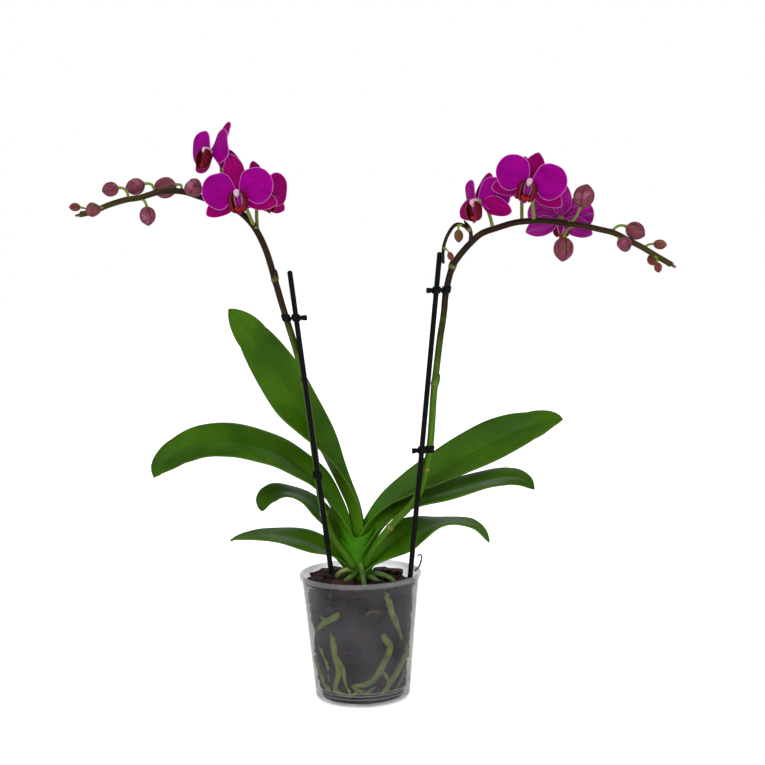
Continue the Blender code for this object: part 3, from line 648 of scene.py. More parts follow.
def insideWall(line):  # pulls back any point that would touch the wall
    kept = []
    for point in line:
        limit = (wallRadius(min(point.z / mm, 120)) - roots["radius"] - roots["least"]) * mm
        out = math.hypot(point.x, point.y)
        share = min(1.0, limit / out) if out > 0 else 1.0
        kept.append(Vector((point.x * share, point.y * share, point.z)))
    return kept


def rootMaterial(name, pale, deep):
    material, tree, shader = newMaterial(name, roughness=0.6)
    place = make(tree, "TexCoord", out="Object")
    patch = speckle(tree, place, 90.0, 4.0)
    fine = speckle(tree, scaled(tree, attribute(tree, "grain"), (3.0, 3.0, 2.2)), 1.0, 4.0)
    base = colours(tree, patch, [(0.32, deep), (0.55, pale), (0.78, hue(172, 180, 118))])
    worn = blended(tree, spread(tree, fine, 0.0, 0.55, 0.5, 0.72), base, hue(92, 84, 40))
    finishMaterial(tree, shader, worn, spread(tree, patch, 0.45, 0.75), fine, 0.5, 0.0006)
    return material


def buildRoots():
    wet = rootMaterial("potRoot", hue(150, 172, 66), hue(96, 124, 34))
    fresh = rootMaterial("aerialRoot", hue(84, 122, 34), hue(50, 88, 18))
    russet = rootMaterial("dryRoot", hue(128, 84, 58), hue(96, 54, 38))
    for name, (inner, wall) in roots["runs"].items():
        shape = newShape()
        line = insideWall(curveThrough([inner, *(onWall(*p) for p in wall)], 44))
        seed = Vector((len(name), 0, 0))

        def girth(t, angle):
            lump = noise.noise(Vector((math.cos(angle) * 0.6, math.sin(angle) * 0.6, t * 9)) + seed)
            return roots["radius"] * mm * (0.92 + 0.22 * lump) * (1 - 0.45 * smooth((t - 0.8) / 0.2))

        tube(shape, line, girth, 12)
        publish(f"{name}_run", shape, [wet], "root", name)
    shape = newShape()
    for number, points in enumerate(roots["twigs"]):
        line = insideWall(curveThrough([onWall(*p) for p in points], 24))

        def thin(t, angle):
            lump = noise.noise(Vector((t * 8, number, 0)))
            return roots["twigRadius"] * mm * (1 - 0.4 * t) * (1 + 0.15 * lump)

        tube(shape, line, thin, 10)
    for points in roots["russet"]:
        line = curveThrough([onWall(*p) for p in points], 12)
        tube(shape, line, lambda t, a: 1.7 * mm * (1 - 0.3 * t), 8, 1)
    publish("root_twigs", shape, [wet, russet], "root")
    shape = newShape()
    for number, points in enumerate(roots["aerial"]):

        def knobbly(t, angle):
            lump = noise.noise(Vector((t * 7, number * 3, angle * 0.1)))
            return roots["aerialRadius"] * mm * (1 - 0.3 * t) * (1 + 0.22 * lump)

        tube(shape, curveThrough(points, 24), knobbly, 12)
    for points in roots["dryCurl"]:
        tube(shape, curveThrough(points, 16), lambda t, a: 1.1 * mm * (1 - 0.35 * t), 8, 1)
    publish("aerial_roots", shape, [fresh, russet], "root", "root_aerial")


buildRoots()
print("roots made")


# leaves and crown

leaves = {
    "thick": 1.6,
    "across": 16,
    "along": 72,
    "lineSteps": 144,  # steps along a midrib
    "tipFrom": 0.875,  # share of the length where a leaf starts to round off
    "softRidge": 0.8,  # how rounded the fold is
    "wave": 1.1,
    # from base to tip: half is half the width, roll turns the leaf about its midrib, fold lifts both halves
    "blades": {
        "leaf_left_1": {
            "rib": [(-2, 10, 126), (-4, 15.5, 145), (-10, 22, 181), (-18, 25, 202), (-36, 29, 240),
                    (-58, 35, 285), (-69, 38, 307), (-85, 40, 333), (-104, 42, 360), (-126, 42, 385)],
            "half": (13, 14, 17, 20, 23.5, 26, 25, 18, 0),
            "roll": (8, 6, 8, 20, 60, 92, 102, 104, 100),
            "fold": (62, 60, 58, 50, 42, 32, 24, 18, 10),
        },
        "leaf_left_2": {
            "rib": [(-4, 8, 120), (-9, 12, 139), (-18, 14, 165), (-28, 15, 188), (-42, 14, 212),
                    (-58, 12, 227), (-77, 7, 242), (-96, 1, 251), (-115, -4, 257), (-133, -9, 259),
                    (-151, -14, 258), (-167, -18, 253), (-181, -21, 246), (-193, -23, 236), (-197, -24, 227)],
            "half": (13, 14, 17, 20, 22, 22.5, 21.5, 17, 0),
            "roll": (5, 8, 16, 28, 34, 36, 40, 50, 62),
            "fold": (62, 54, 40, 26, 16, 12, 12, 12, 10),
        },
        "leaf_left_3": {
            "rib": [(-4, 11, 116), (-12, 16, 136), (-22, 22, 154), (-31, 27, 170), (-43.5, 31, 185),
                    (-56, 34, 194), (-70, 36, 199), (-83, 37, 200), (-92, 36, 197), (-97, 34, 190),
                    (-98, 32, 182)],
            "half": (11, 11, 12, 13, 13.5, 13, 13, 11, 0),
            "roll": (4, 12, 26, 36, 30, 16, 20, 50, 80),
            "fold": (60, 50, 36, 24, 14, 12, 12, 10, 8),
        },
        "leaf_left_4": {
            "rib": [(-5, 6, 112), (-14, 9, 124), (-24, 10.5, 137), (-35, 13, 145), (-53, 16, 152.5),
                    (-76, 19, 158), (-98, 20, 160), (-120, 19, 157.5), (-129, 18, 155)],
            "half": (11, 12, 14, 16, 17, 16.5, 14, 9, 0),
            "roll": (5, 14, 22, 26, 24, 20, 14, 8, 5),
            "fold": (58, 46, 30, 18, 12, 10, 10, 10, 8),
        },
        "leaf_right_1": {
            "rib": [(0, 11, 124), (4, 15, 143), (14, 18, 166), (31, 20, 186), (53, 21, 201), (74, 23, 214),
                    (102, 25, 230), (129, 27, 243), (154, 28, 254), (177, 26, 263), (193, 21, 269),
                    (203, 16, 270.5)],
            "half": (13, 14, 17, 21, 24, 25.5, 25, 18, 0),
            "roll": (4, 8, 18, 32, 42, 46, 46, 44, 42),
            "fold": (62, 56, 46, 36, 28, 25, 22, 16, 10),
        },
        "leaf_right_2": {
            "rib": [(2, 8, 118), (7, 9, 136), (16, 8, 156), (27, 8, 171), (45, 8, 186), (65, 8, 195),
                    (87, 8, 201), (110, 9, 207), (133, 9, 213), (152, 8, 215), (165, 4, 211), (172.5, 0, 204)],
            "half": (11, 12, 13.5, 15, 17, 18, 17.5, 14, 0),
            "roll": (4, 10, 16, 20, 20, 20, 22, 28, 34),
            "fold": (60, 50, 36, 22, 16, 12, 12, 12, 10),
        },
        "leaf_right_3": {
            "rib": [(3, 5, 112), (9, 3, 124), (18, 2, 137), (29, 3, 148), (45, 6, 158), (65, 8, 166),
                    (87, 9, 172), (108, 11, 170), (119.5, 11, 163), (128, 9, 150)],
            "half": (11, 13, 16, 19, 19, 17, 14.5, 10, 0),
            "roll": (4, 20, 46, 52, 30, 10, 5, 10, 20),
            "fold": (58, 38, 22, 16, 12, 8, 8, 8, 8),
        },
    },
    "crownProfile": [(0, 139), (2, 138), (4, 131), (4.6, 121), (6.5, 113), (6.5, 105), (4, 99), (0, 98)],
    "crownAt": (-2.0, 8.0),
    # old sheaths round the crown: degrees round it, lowest and highest point, radius
    "sheaths": [(20, 104, 130, 9.5), (150, 106, 127, 9), (265, 103, 124, 8.5), (330, 108, 133, 8)],
    # bases that clasp it: to the front (-1) or the back, foot, top in the middle and at the sides, radius
    "clasp": [(-1, 112, 147, 158, 10.0), (-1, 122, 158, 168, 8.0), (1, 112, 154, 166, 9.0)],
    "flare": 8.0,
}


def leafMaterial(name, dark, light, young, sheen):
    material, tree, shader = newMaterial(name, roughness=0.42, specular=0.1)
    place = make(tree, "TexCoord", out="Object")
    across, out, _ = parts(tree, attribute(tree, "mark"))
    veins = speckle(tree, attribute(tree, "grain"), 1.0, 4.0, 0.6)
    patch = speckle(tree, place, 22.0, 3.0)
    pores = speckle(tree, place, 900.0, 2.0)
    base = colours(tree, patch, [(0.3, dark), (0.7, light)])
    lined = blended(tree, spread(tree, veins, 0.0, 0.5, 0.45, 0.75), base, dark)
    grown = blended(tree, spread(tree, out, 1.0, 0.0, 0.04, 0.36), lined, young)
    ribbed = blended(tree, spread(tree, across, 0.55, 0.0, 0.0, 0.07), grown, dark)
    edged = blended(tree, spread(tree, across, 0.0, 0.6, 0.965, 0.998), ribbed, hue(84, 116, 34))
    rough = spread(tree, patch, sheen - 0.06, sheen + 0.1, 0.3, 0.7)
    height = sums(tree, "ADD", sums(tree, "MULTIPLY", veins, 0.8), sums(tree, "MULTIPLY", pores, 0.35))
    finishMaterial(tree, shader, edged, rough, height, 0.28, 0.0005)
    return material


def leafSide(blade, ahead, side, v, outward):  # across the leaf, from its roll at v
    side.rotate(Matrix.Rotation(math.radians(alongList(blade["roll"], v)) * outward, 3, ahead))
    return side


def buildLeaf(name, blade, index, looks):
    last = leaves["lineSteps"]
    line = curveThrough(blade["rib"], last + 1)
    outward = 1 if blade["rib"][-1][0] > 0 else -1
    shape = newShape()

    def place(u, v):
        at = v * last
        k = min(int(at), last - 1)
        centre = line[k].lerp(line[k + 1], at - k)
        ahead = (line[min(k + 5, last)] - line[max(k - 4, 0)]).normalized()
        side = Vector((0, 1, 0))
        side = (side - ahead * side.dot(ahead)).normalized()
        side = leafSide(blade, ahead, side, v, outward)
        upward = ahead.cross(side) * outward
        if v < leaves["tipFrom"]:
            half = alongList(blade["half"], v)
        else:
            tip = (v - leaves["tipFrom"]) / (1 - leaves["tipFrom"])
            half = blade["half"][-2] * max(0, 1 - tip**1.7) ** 0.75
        lift = math.radians(alongList(blade["fold"], v))
        reach, soft = u * half * mm, leaves["softRidge"] * mm
        ridge = math.sqrt(reach * reach + soft**2) - soft
        bow = half * mm * u * u * 0.1 * smooth(v * 3)
        wave = leaves["wave"] * mm * u * u * smooth(v * 4) * math.sin(v * 15 + index * 2 + u)
        co = centre + side * reach * math.cos(lift) + upward * (ridge * math.sin(lift) - bow + wave)
        return co, (u * half * 1.1, v * 3, index * 5.0), (abs(u), v, 0.0)

    surface(shape, leaves["across"], leaves["along"], place)
    bmesh.ops.recalc_face_normals(shape, faces=shape.faces)
    # the upper face is the one on the side that the fold opens to
    k = 40
    middle = min(shape.faces, key=lambda f: (f.calc_center_median() - line[k]).length)
    ahead = (line[k + 4] - line[k - 4]).normalized()
    side = leafSide(blade, ahead, Vector((0, 1, 0)), k / last, outward)
    if middle.normal.dot(ahead.cross(side) * outward) < 0:
        bmesh.ops.reverse_faces(shape, faces=shape.faces)
    publish(f"{name}_blade", shape, looks, "leaf", name, thick=leaves["thick"] * mm, backLook=1)


def buildCrown(look):
    east, north = leaves["crownAt"]
    shape = newShape()
    spun(shape, [(max(r, 0.001), z) for r, z in leaves["crownProfile"]], 32, cuts=3)
    bmesh.ops.remove_doubles(shape, verts=shape.verts, dist=5e-6)
    grain, mark = layersOf(shape)
    for vert in shape.verts:
        swell = 1 + 0.12 * math.sin(vert.co.z * 520)
        vert.co.x = vert.co.x * swell + east * mm
        vert.co.y = vert.co.y * swell + north * mm
        vert[grain] = vert.co * 60
        vert[mark] = (0.5, 0.1, 0)
    for face in shape.faces:
        face.smooth = True
    for turn, low, high, wide in leaves["sheaths"]:

        def place(u, v):
            a = math.radians(turn) + u * 1.25 * (1 - 0.75 * v**2)
            r = wide * (1 - 0.12 * v) + 1.5 * math.sin(v * math.pi)
            co = Vector((math.cos(a) * r + east, math.sin(a) * r + north, low + (high - low) * v))
            return co * mm, (u * 8, v * 3, turn * 1.0), (abs(u), v * 0.3, 0.0)

        surface(shape, 12, 12, place)
    for number, (front, low, dip, rise, radius) in enumerate(leaves["clasp"]):

        def place(u, v):
            a = u * 1.5
            top = dip + (rise - dip) * abs(u) ** 1.6
            flare = leaves["flare"] * abs(u) ** 1.5 * v**1.7 * (1 if u > 0 else -1)
            r = radius * (0.72 + 0.28 * smooth(v * 1.8)) + 0.5 * math.sin(v * 7 + u * 2)
            x = math.sin(a) * r + flare + east
            y = front * math.cos(a) * r * (1 - 0.35 * v) + north + 2 * v
            marks = (abs(u) * 0.9 + 0.05, 0.02 + 0.16 * v, 0.0)
            return Vector((x, y, low + (top - low) * v)) * mm, (u * 9, v * 3, number * 4.0), marks

        surface(shape, 20, 20, place)
    publish("crown_sheaths", shape, [look], "crown", "crown", thick=1.2 * mm)


def buildLeaves():
    upper = leafMaterial("leafUpper", hue(42, 78, 2), hue(66, 108, 4), hue(76, 146, 10), 0.4)
    under = leafMaterial("leafUnder", hue(52, 80, 12), hue(74, 104, 26), hue(78, 134, 16), 0.5)
    fresh = leafMaterial("crownSheath", hue(40, 92, 4), hue(60, 122, 8), hue(68, 138, 12), 0.42)
    for index, (name, blade) in enumerate(leaves["blades"].items()):
        buildLeaf(name, blade, index, [upper, under])
    buildCrown(fresh)


buildLeaves()
print("leaves and crown made")


# flower spikes

spikes = {
    "lines": {
        "spike_left": [(-7, -3, 131), (-15, -1, 143), (-24, 0, 155), (-31, -2, 171), (-36, -5, 193),
                       (-39, -7, 218), (-42, -8, 248), (-46, -8, 283), (-50, -8, 314), (-57, -9, 346),
                       (-66, -10, 378), (-75, -11, 412), (-83, -12, 442), (-93, -12, 464), (-106, -10, 479),
                       (-123, -8, 488), (-141, -8, 494), (-162, -10, 501), (-183, -12, 501), (-202, -14, 496),
                       (-216, -15, 494), (-233, -17, 489), (-245, -19, 484), (-258, -20, 481)],
        "spike_right": [(6, -3, 132), (12, -7, 145), (20, -9, 158), (29, -10, 169), (40, -10, 181),
                        (51, -10, 192), (60, -11, 206), (66, -14, 227), (70, -16, 247), (73, -16, 276),
                        (75, -16, 301), (78, -16, 325), (82, -15, 354), (86, -15, 378), (89, -15, 402),
                        (95, -14, 423), (102, -13, 434), (113, -12, 446), (124, -10, 455), (139, -8, 460),
                        (158, -6, 465), (181, -5, 466), (200, -5, 464), (219, -6, 461), (236, -8, 457),
                        (251, -10, 453), (264, -12, 446), (277, -14, 439), (291, -16, 430), (304, -18, 422)],
        "side_branch": [(113, -12, 446), (113, -15, 457), (106, -18, 463), (99, -21, 464), (93, -23, 458),
                        (88, -25, 448), (86, -26, 438), (86, -26, 428)],
    },
    "radii": {"spike_left": (3.6, 2.8), "spike_right": (3.6, 2.8), "side_branch": (2.0, 1.5)},
    "points": {"spike_left": 190, "spike_right": 190, "side_branch": 40},
    # heights of the joints
    "joints": {"spike_left": (186, 311, 415), "spike_right": (170, 229, 312, 423), "side_branch": (459,)},
    # unopened buds at the tip: lean, distance back, width, length
    "tipBuds": [(0.15, 0, 3.6, 7), (0.7, 2, 3.2, 5.5), (0.8, 4, 3.6, 5.5), (0.9, 8, 3, 4.5)],
    "purpleFrom": 0.30,  # height in metres where the green turns dark
}


def spikeLine(run):
    return curveThrough(spikes["lines"][run], spikes["points"][run])


def stemMaterial():
    material, tree, shader = newMaterial("stemSkin", roughness=0.45, specular=0.12)
    place = make(tree, "TexCoord", out="Object")
    tip, height, joint = parts(tree, attribute(tree, "mark"))
    streaks = speckle(tree, scaled(tree, attribute(tree, "grain"), (4.0, 4.0, 0.5)), 1.0, 4.0)
    patch = speckle(tree, place, 60.0, 3.0)
    green = colours(tree, streaks, [(0.3, hue(54, 92, 10)), (0.7, hue(84, 124, 22))])
    dark = colours(tree, streaks, [(0.3, hue(24, 12, 8)), (0.55, hue(46, 26, 12)), (0.75, hue(74, 54, 20))])
    edge = sums(tree, "ADD", height, sums(tree, "MULTIPLY", sums(tree, "SUBTRACT", patch, 0.5), 0.12))
    turned = spread(tree, edge, 0.0, 1.0, spikes["purpleFrom"] - 0.01, spikes["purpleFrom"] + 0.1)
    skin = blended(tree, turned, green, dark)
    olive = blended(tree, spread(tree, tip, 0.0, 0.55, 0.8, 1.0), skin, hue(76, 74, 24))
    ringed = blended(tree, spread(tree, joint, 0.0, 0.85, 0.2, 0.9), olive, hue(128, 124, 66))
    finishMaterial(tree, shader, ringed, spread(tree, streaks, 0.35, 0.58), streaks, 0.35, 0.0004)
    return material


def tipBudMaterial():
    material, tree, shader = newMaterial("tipBud", roughness=0.5, specular=0.25)
    grain = speckle(tree, make(tree, "TexCoord", out="Object"), 420.0, 3.0)
    base = colours(tree, grain, [(0.3, hue(82, 34, 26)), (0.55, hue(112, 66, 34)), (0.75, hue(116, 104, 44))])
    finishMaterial(tree, shader, base, spread(tree, grain, 0.42, 0.6), grain, 0.3, 0.0004)
    return material


def stemRun(shape, run):  # one stem with its joints and bracts
    thickLow, thickHigh = spikes["radii"][run]
    line = spikeLine(run)
    last = len(line) - 1
    climb = range(int(len(line) * 0.7))
    joints = [min(climb, key=lambda k: abs(line[k].z - h * mm)) / last for h in spikes["joints"][run]]
    length = sum((b - a).length for a, b in zip(line, line[1:]))

    def near(t):
        return max(math.exp(-(((t - j) * length / (2.2 * mm)) ** 2)) for j in joints)

    def girth(t, angle):
        wander = 0.12 * noise.noise(Vector((t * 40, math.cos(angle), math.sin(angle))))
        return (thickLow + (thickHigh - thickLow) * t + 0.75 * near(t) + wander) * mm

    def marks(t, co):
        return (0.3 if run == "side_branch" else t), co.z, near(t)

    tube(shape, line, girth, 16, 0, marks)
    frames = framesAlong(line)
    for number, j in enumerate(joints):  # a dry pointed bract hugs each joint
        point, ahead, side, up = frames[round(j * last)]
        thick = (thickLow + (thickHigh - thickLow) * j + 0.9) * mm

        def place(u, v):
            a = u * 1.5 * (1 - v) ** 0.7 + number * 2.4
            r = thick + 0.5 * mm * math.sin(v * 3)
            way = side * math.cos(a) + up * math.sin(a)
            co = point + way * r + ahead * (v * 11 - 1) * mm
            return co, (u, v, 0), (0.2, co.z, 0.55 * (1 - v))

        surface(shape, 8, 8, place)
    return frames[-1]


def crowdTip(shape, tip):  # unopened buds crowd the very tip
    point, ahead, side, up = tip
    for number, (lean, back, wide, long) in enumerate(spikes["tipBuds"]):
        a = number * 2.3 + 0.6
        way = ahead + (side * math.cos(a) + up * math.sin(a)) * lean
        at = point - ahead * back * mm + way.normalized() * long * 0.4 * mm
        ball(shape, facingTo(at, way), Vector((wide / 2, wide / 2, long / 2)) * mm, 1, 14, 10,
             lambda a, v: (1 - 0.4 * v + 0.06 * math.cos(a * 3), 0.0, 0.0))


def buildSpikes():
    looks = [stemMaterial(), tipBudMaterial()]
    for name in ("spike_left", "spike_right"):
        shape = newShape()
        crowdTip(shape, stemRun(shape, name))
        if name == "spike_right":
            stemRun(shape, "side_branch")
        publish(f"{name}_stem", shape, looks, "stem", name)


buildSpikes()
print("flower spikes made")


# stakes and clips

stakes = {
    "stake_left": {"foot": (-17.7, -14, 34), "top": (-61, -14, 422)},
    "stake_right": {"foot": (40.8, -21, 50), "top": (83, -21, 437)},
    "radius": 2.6,
    "ribs": 8,
    "point": 0.55,  # how narrow the foot starts
    "clips": {
        "clip_left_upper": ("stake_left", "spike_left", 378),
        "clip_left_lower": ("stake_left", "spike_left", 224),
        "clip_right_upper": ("stake_right", "spike_right", 402),
        "clip_right_lower": ("stake_right", "spike_right", 248),
    },
    "clipHeight": 7.0,
    "clipWall": 1.3,
    "tab": 9.0,
    "ringInside": 3.3,  # the ring round a spike, and how far it is left open, in radians to each side
    "ringGap": 0.55,
}


def blackPlastic():
    material, tree, shader = newMaterial("blackPlastic", roughness=0.35, specular=0.1)
    place = make(tree, "TexCoord", out="Object")
    scratch = speckle(tree, scaled(tree, place, (1200.0, 1200.0, 90.0)), 1.0, 3.0)
    dust = speckle(tree, place, 160.0, 4.0)
    base = blended(tree, spread(tree, dust, 0.0, 0.6, 0.5, 0.8), hue(3, 4, 6), hue(14, 15, 20))
    finishMaterial(tree, shader, base, spread(tree, scratch, 0.24, 0.5, 0.3, 0.7), scratch, 0.25, 0.0003)
    return material


def atHeight(line, height):
    for low, high in zip(line, line[1:]):
        if low.z <= height <= high.z:
            return low.lerp(high, (height - low.z) / (high.z - low.z)), (high - low).normalized()
    return line[-1], (line[-1] - line[-2]).normalized()


def buildRod(name, look):
    foot, top = Vector(stakes[name]["foot"]), Vector(stakes[name]["top"])
    line = [foot.lerp(top, i / 60) * mm for i in range(61)]
    point = stakes["point"]
    shape = newShape()

    def girth(t, angle):
        rib = 0.1 * math.cos(angle * stakes["ribs"])
        return (stakes["radius"] - 0.15 + rib) * mm * (point + (1 - point) * smooth(t / 0.05))

    tube(shape, line, girth, 32)
    publish(f"{name}_rod", shape, [look], "black_plastic", name)


def rounded(value, power):  # keeps the sign, so that an oval gets squarer
    return math.copysign(abs(value) ** power, value)


def buildClip(name, stakeName, spikeName, height, look):
    shape = newShape()
    stake = [Vector(stakes[stakeName][end]) * mm for end in ("foot", "top")]
    onStake, stakeWay = atHeight(stake, height * mm)
    onSpike, spikeWay = atHeight(spikeLine(spikeName), height * mm)
    flat = onStake - onSpike
    flat.z = 0
    flat.normalize()
    cross = Vector((0, 0, 1)).cross(flat)
    tall, wall = stakes["clipHeight"] * mm, stakes["clipWall"] * mm
    for centre, axis, inner, opening in (
        (onStake, stakeWay, (stakes["radius"] + 0.2) * mm, 0.0),
        (onSpike, spikeWay, stakes["ringInside"] * mm, stakes["ringGap"]),
    ):
        # one closed band with a rounded section, open on the side away from the other ring
        def place(u, v):
            a = math.pi * (u + 1)
            turn = opening + (math.tau - 2 * opening) * v
            way = -flat * math.cos(turn) + cross * math.sin(turn)
            pinch = 0.0 if v in (0.0, 1.0) and opening else 1.0
            r = inner + wall / 2 + math.cos(a) * wall / 2 * pinch
            co = centre + way * r + axis * rounded(math.sin(a), 0.5) * tall / 2 * pinch
            return co, tuple(co * 50), (0, 0, 0)

        surface(shape, 12, 40, place)
    # the bridge between the rings, then the finger tab with grip ridges
    start = onSpike + flat * 4.2 * mm
    end = onStake + flat * (stakes["radius"] + stakes["tab"]) * mm
    length = (end - start).length

    def place(u, v):
        a = math.pi * (u + 1)
        at = start + (end - start) * v
        if (at - onStake).dot(flat) < 3 * mm:
            at += cross * 2.2 * mm
        taper = 0.0 if v in (0.0, 1.0) else 1.0
        grip = 0.35 * mm * math.sin(v * length / mm * 2.6) * smooth((v - 0.6) * 8)
        wide = (1.0 * mm + grip) * taper
        tallHere = tall * 0.3 * (1 + 0.25 * smooth((v - 0.6) * 4)) * taper
        co = at + cross * math.cos(a) * wide + Vector((0, 0, 1)) * rounded(math.sin(a), 0.6) * tallHere
        return co, tuple(co * 50), (0, 0, 0)

    surface(shape, 12, 44, place)
    publish(f"{name}_band", shape, [look], "black_plastic", name)


def buildStakes():
    black = blackPlastic()
    for name in ("stake_left", "stake_right"):
        buildRod(name, black)
    for name, spec in stakes["clips"].items():
        buildClip(name, *spec, black)


buildStakes()
print("stakes and clips made")


# flowers

flowers = {
    "petal": {"length": 35.0, "width": 34.5, "claw": 0.7, "point": 0.0, "cup": 2.2, "ruffle": 1.0},
    "sepal": {"length": 37.0, "width": 20.5, "claw": 0.55, "point": 0.1, "cup": 1.6, "ruffle": 0.6},
    "hub": 2.0,
    "thick": 0.5,
    "dorsalAngle": 92,
    "petalAngles": (16, 164),
    "sepalAngles": (-24, -156),
    # degrees that a flower turns (yaw), nods (pitch) and rolls; swept: how far back its petals, its top
    # sepal and its two lower sepals lean; stalk: the spike and the place where it joins
    "heads": {
        "flower_1": {"at": (-106, -42, 497), "yaw": -3, "pitch": -3, "roll": 8, "size": 1.0,
                     "swept": (3, 5, 6, 6), "stalk": ("spike_left", (-92, -16, 468))},
        "flower_2": {"at": (-132, -16, 537), "yaw": -52, "pitch": 8, "roll": 0, "size": 0.96,
                     "swept": (-7, 24, 20, 0), "stalk": ("spike_left", (-125, -9, 492))},
        # flower_3's petals take the darker sepal colour (look 1): painted shade, as it stands behind flower_1
        "flower_3": {"at": (-86, 15, 498), "yaw": 42, "pitch": -5, "roll": -4, "size": 0.96,
                     "swept": (6, 28, 8, 8), "petalLook": 1, "stalk": ("spike_left", (-88, -4, 462))},
        "flower_4": {"at": (168, -40, 502), "yaw": -10, "pitch": -6, "roll": -16, "size": 1.0,
                     "swept": (3, 42, 6, 6), "stalk": ("spike_right", (174, -10, 470))},
        "flower_5": {"at": (120, -18, 485), "yaw": -42, "pitch": -12, "roll": 4, "size": 0.94,
                     "swept": (30, 45, 8, 8), "stalk": ("spike_right", (134, -14, 462))},
        "flower_6": {"at": (204, 22, 467), "yaw": 165, "pitch": -6, "roll": 3, "size": 0.96,
                     "swept": (6, 8, 8, 8), "stalk": ("spike_right", (201, 0, 465))},
        "flower_7": {"at": (166, 24, 501), "yaw": 176, "pitch": -4, "roll": 6, "size": 0.75,
                     "swept": (6, 8, 8, 8), "stalk": ("spike_right", (163, 0, 468))},
    },
}


def petalMaterial(name, deep, bright, vein, veinShare):
    material, tree, shader = newMaterial(name, roughness=0.55, specular=0.03)
    place = make(tree, "TexCoord", out="Object")
    edge, out, _ = parts(tree, attribute(tree, "mark"))
    lines = speckle(tree, attribute(tree, "grain"), 1.0, 3.0, 0.5)
    cells = speckle(tree, place, 1500.0, 2.0)
    broad = speckle(tree, place, 70.0, 2.0)
    base = colours(tree, broad, [(0.3, deep), (0.7, bright)])
    paler = blended(tree, spread(tree, out, 0.35, 0.0, 0.0, 0.35), base, deep)
    veined = blended(tree, spread(tree, lines, 0.0, veinShare, 0.5, 0.68), paler, vein)
    rimmed = blended(tree, spread(tree, edge, 0.0, 0.85, 0.955, 0.985), veined, hue(226, 130, 208))
    height = sums(tree, "ADD", sums(tree, "MULTIPLY", lines, 1.0), sums(tree, "MULTIPLY", cells, 0.3))
    finishMaterial(tree, shader, rimmed, spread(tree, cells, 0.42, 0.66, 0.3, 0.7), height, 0.32, 0.0006)
    return material


def lipMaterial(name, dark, light, edgeTone, edgeFrom):
    material, tree, shader = newMaterial(name, roughness=0.4, specular=0.1)
    place = make(tree, "TexCoord", out="Object")
    _, across, _ = parts(tree, attribute(tree, "mark"))
    spots = speckle(tree, place, 620.0, 3.0)
    base = colours(tree, spots, [(0.35, dark), (0.68, light)])
    rimmed = blended(tree, spread(tree, across, 0.0, 0.8, edgeFrom, edgeFrom + 0.12), base, edgeTone)
    finishMaterial(tree, shader, rimmed, spread(tree, spots, 0.3, 0.55), spots, 0.3, 0.0004)
    return material


def stalkMaterial(name, low, high):
    material, tree, shader = newMaterial(name, roughness=0.5, specular=0.25)
    along, _, _ = parts(tree, attribute(tree, "mark"))
    streaks = speckle(tree, scaled(tree, attribute(tree, "grain"), (3.0, 3.0, 0.6)), 1.0, 3.0)
    base = colours(tree, along, [(0.0, low), (0.75, low), (1.0, high)])
    lined = blended(tree, spread(tree, streaks, 0.0, 0.5, 0.45, 0.7), base, hue(150, 140, 76))
    finishMaterial(tree, shader, lined, spread(tree, streaks, 0.4, 0.6), streaks, 0.3, 0.0004)
    return material


def facing(spec):  # the flower's frame: +Z out of its face, +Y to its top sepal
    front = Matrix(((1, 0, 0), (0, 0, -1), (0, 1, 0))).to_4x4()
    return (
        Matrix.Translation(Vector(spec["at"]) * mm)
        @ Matrix.Rotation(math.radians(spec["yaw"]), 4, "Z")
        @ Matrix.Rotation(math.radians(-spec["pitch"]), 4, "X")
        @ front
        @ Matrix.Rotation(math.radians(spec["roll"]), 4, "Z")
        @ Matrix.Scale(spec["size"], 4)
    )


def blade(shape, here, angle, swept, kind, lift, look, seed):
    turn = here @ Matrix.Rotation(math.radians(angle), 4, "Z") @ Matrix.Rotation(math.radians(swept), 4, "Y")
    form = flowers[kind]
    sway = noise.noise(Vector((seed * 3.7, 0, 0))) * 2

    def place(u, v):
        s = 2 * v - 1
        x = u * math.sqrt(1 - s * s / 2)
        y = s * math.sqrt(1 - u * u / 2)
        edge = min(1.0, math.sqrt(x * x + y * y))
        out = (y + 1) / 2
        bendAt = math.atan2(x, y)
        wander = noise.noise(Vector((bendAt * 2.2, seed * 5, 0)))
        wide = form["width"] / 2 * (form["claw"] + (1 - form["claw"]) * smooth(out * 3))
        wide *= 1 + 0.035 * math.sin(bendAt * 3 + seed * 1.7) + 0.03 * wander
        wide *= 1 - form["point"] * smooth((out - 0.45) * 1.8)
        far = flowers["hub"] + out * (form["length"] - flowers["hub"])
        if form["point"]:
            far += 1.2 * max(0, out - 0.8) * 5 * max(0, 1 - abs(x) * 2)
        bend = math.atan2(x, out + 0.3)
        ripple = form["ruffle"] * edge**4 * math.sin(bend * 5 + seed * 2.1 + out * 3)
        groove = -0.55 * math.exp(-((x / 0.09) ** 2)) * (1 - out)
        z = lift - form["cup"] * (x * x + out * out * 0.8) + ripple + groove + sway * out
        co = turn @ Vector((far * mm, x * wide * mm, z * mm))
        return co, (x * 9 + seed * 11, out * 1.5, seed * 7.0), (edge, out, 0.0)

    surface(shape, 22, 24, place, look)


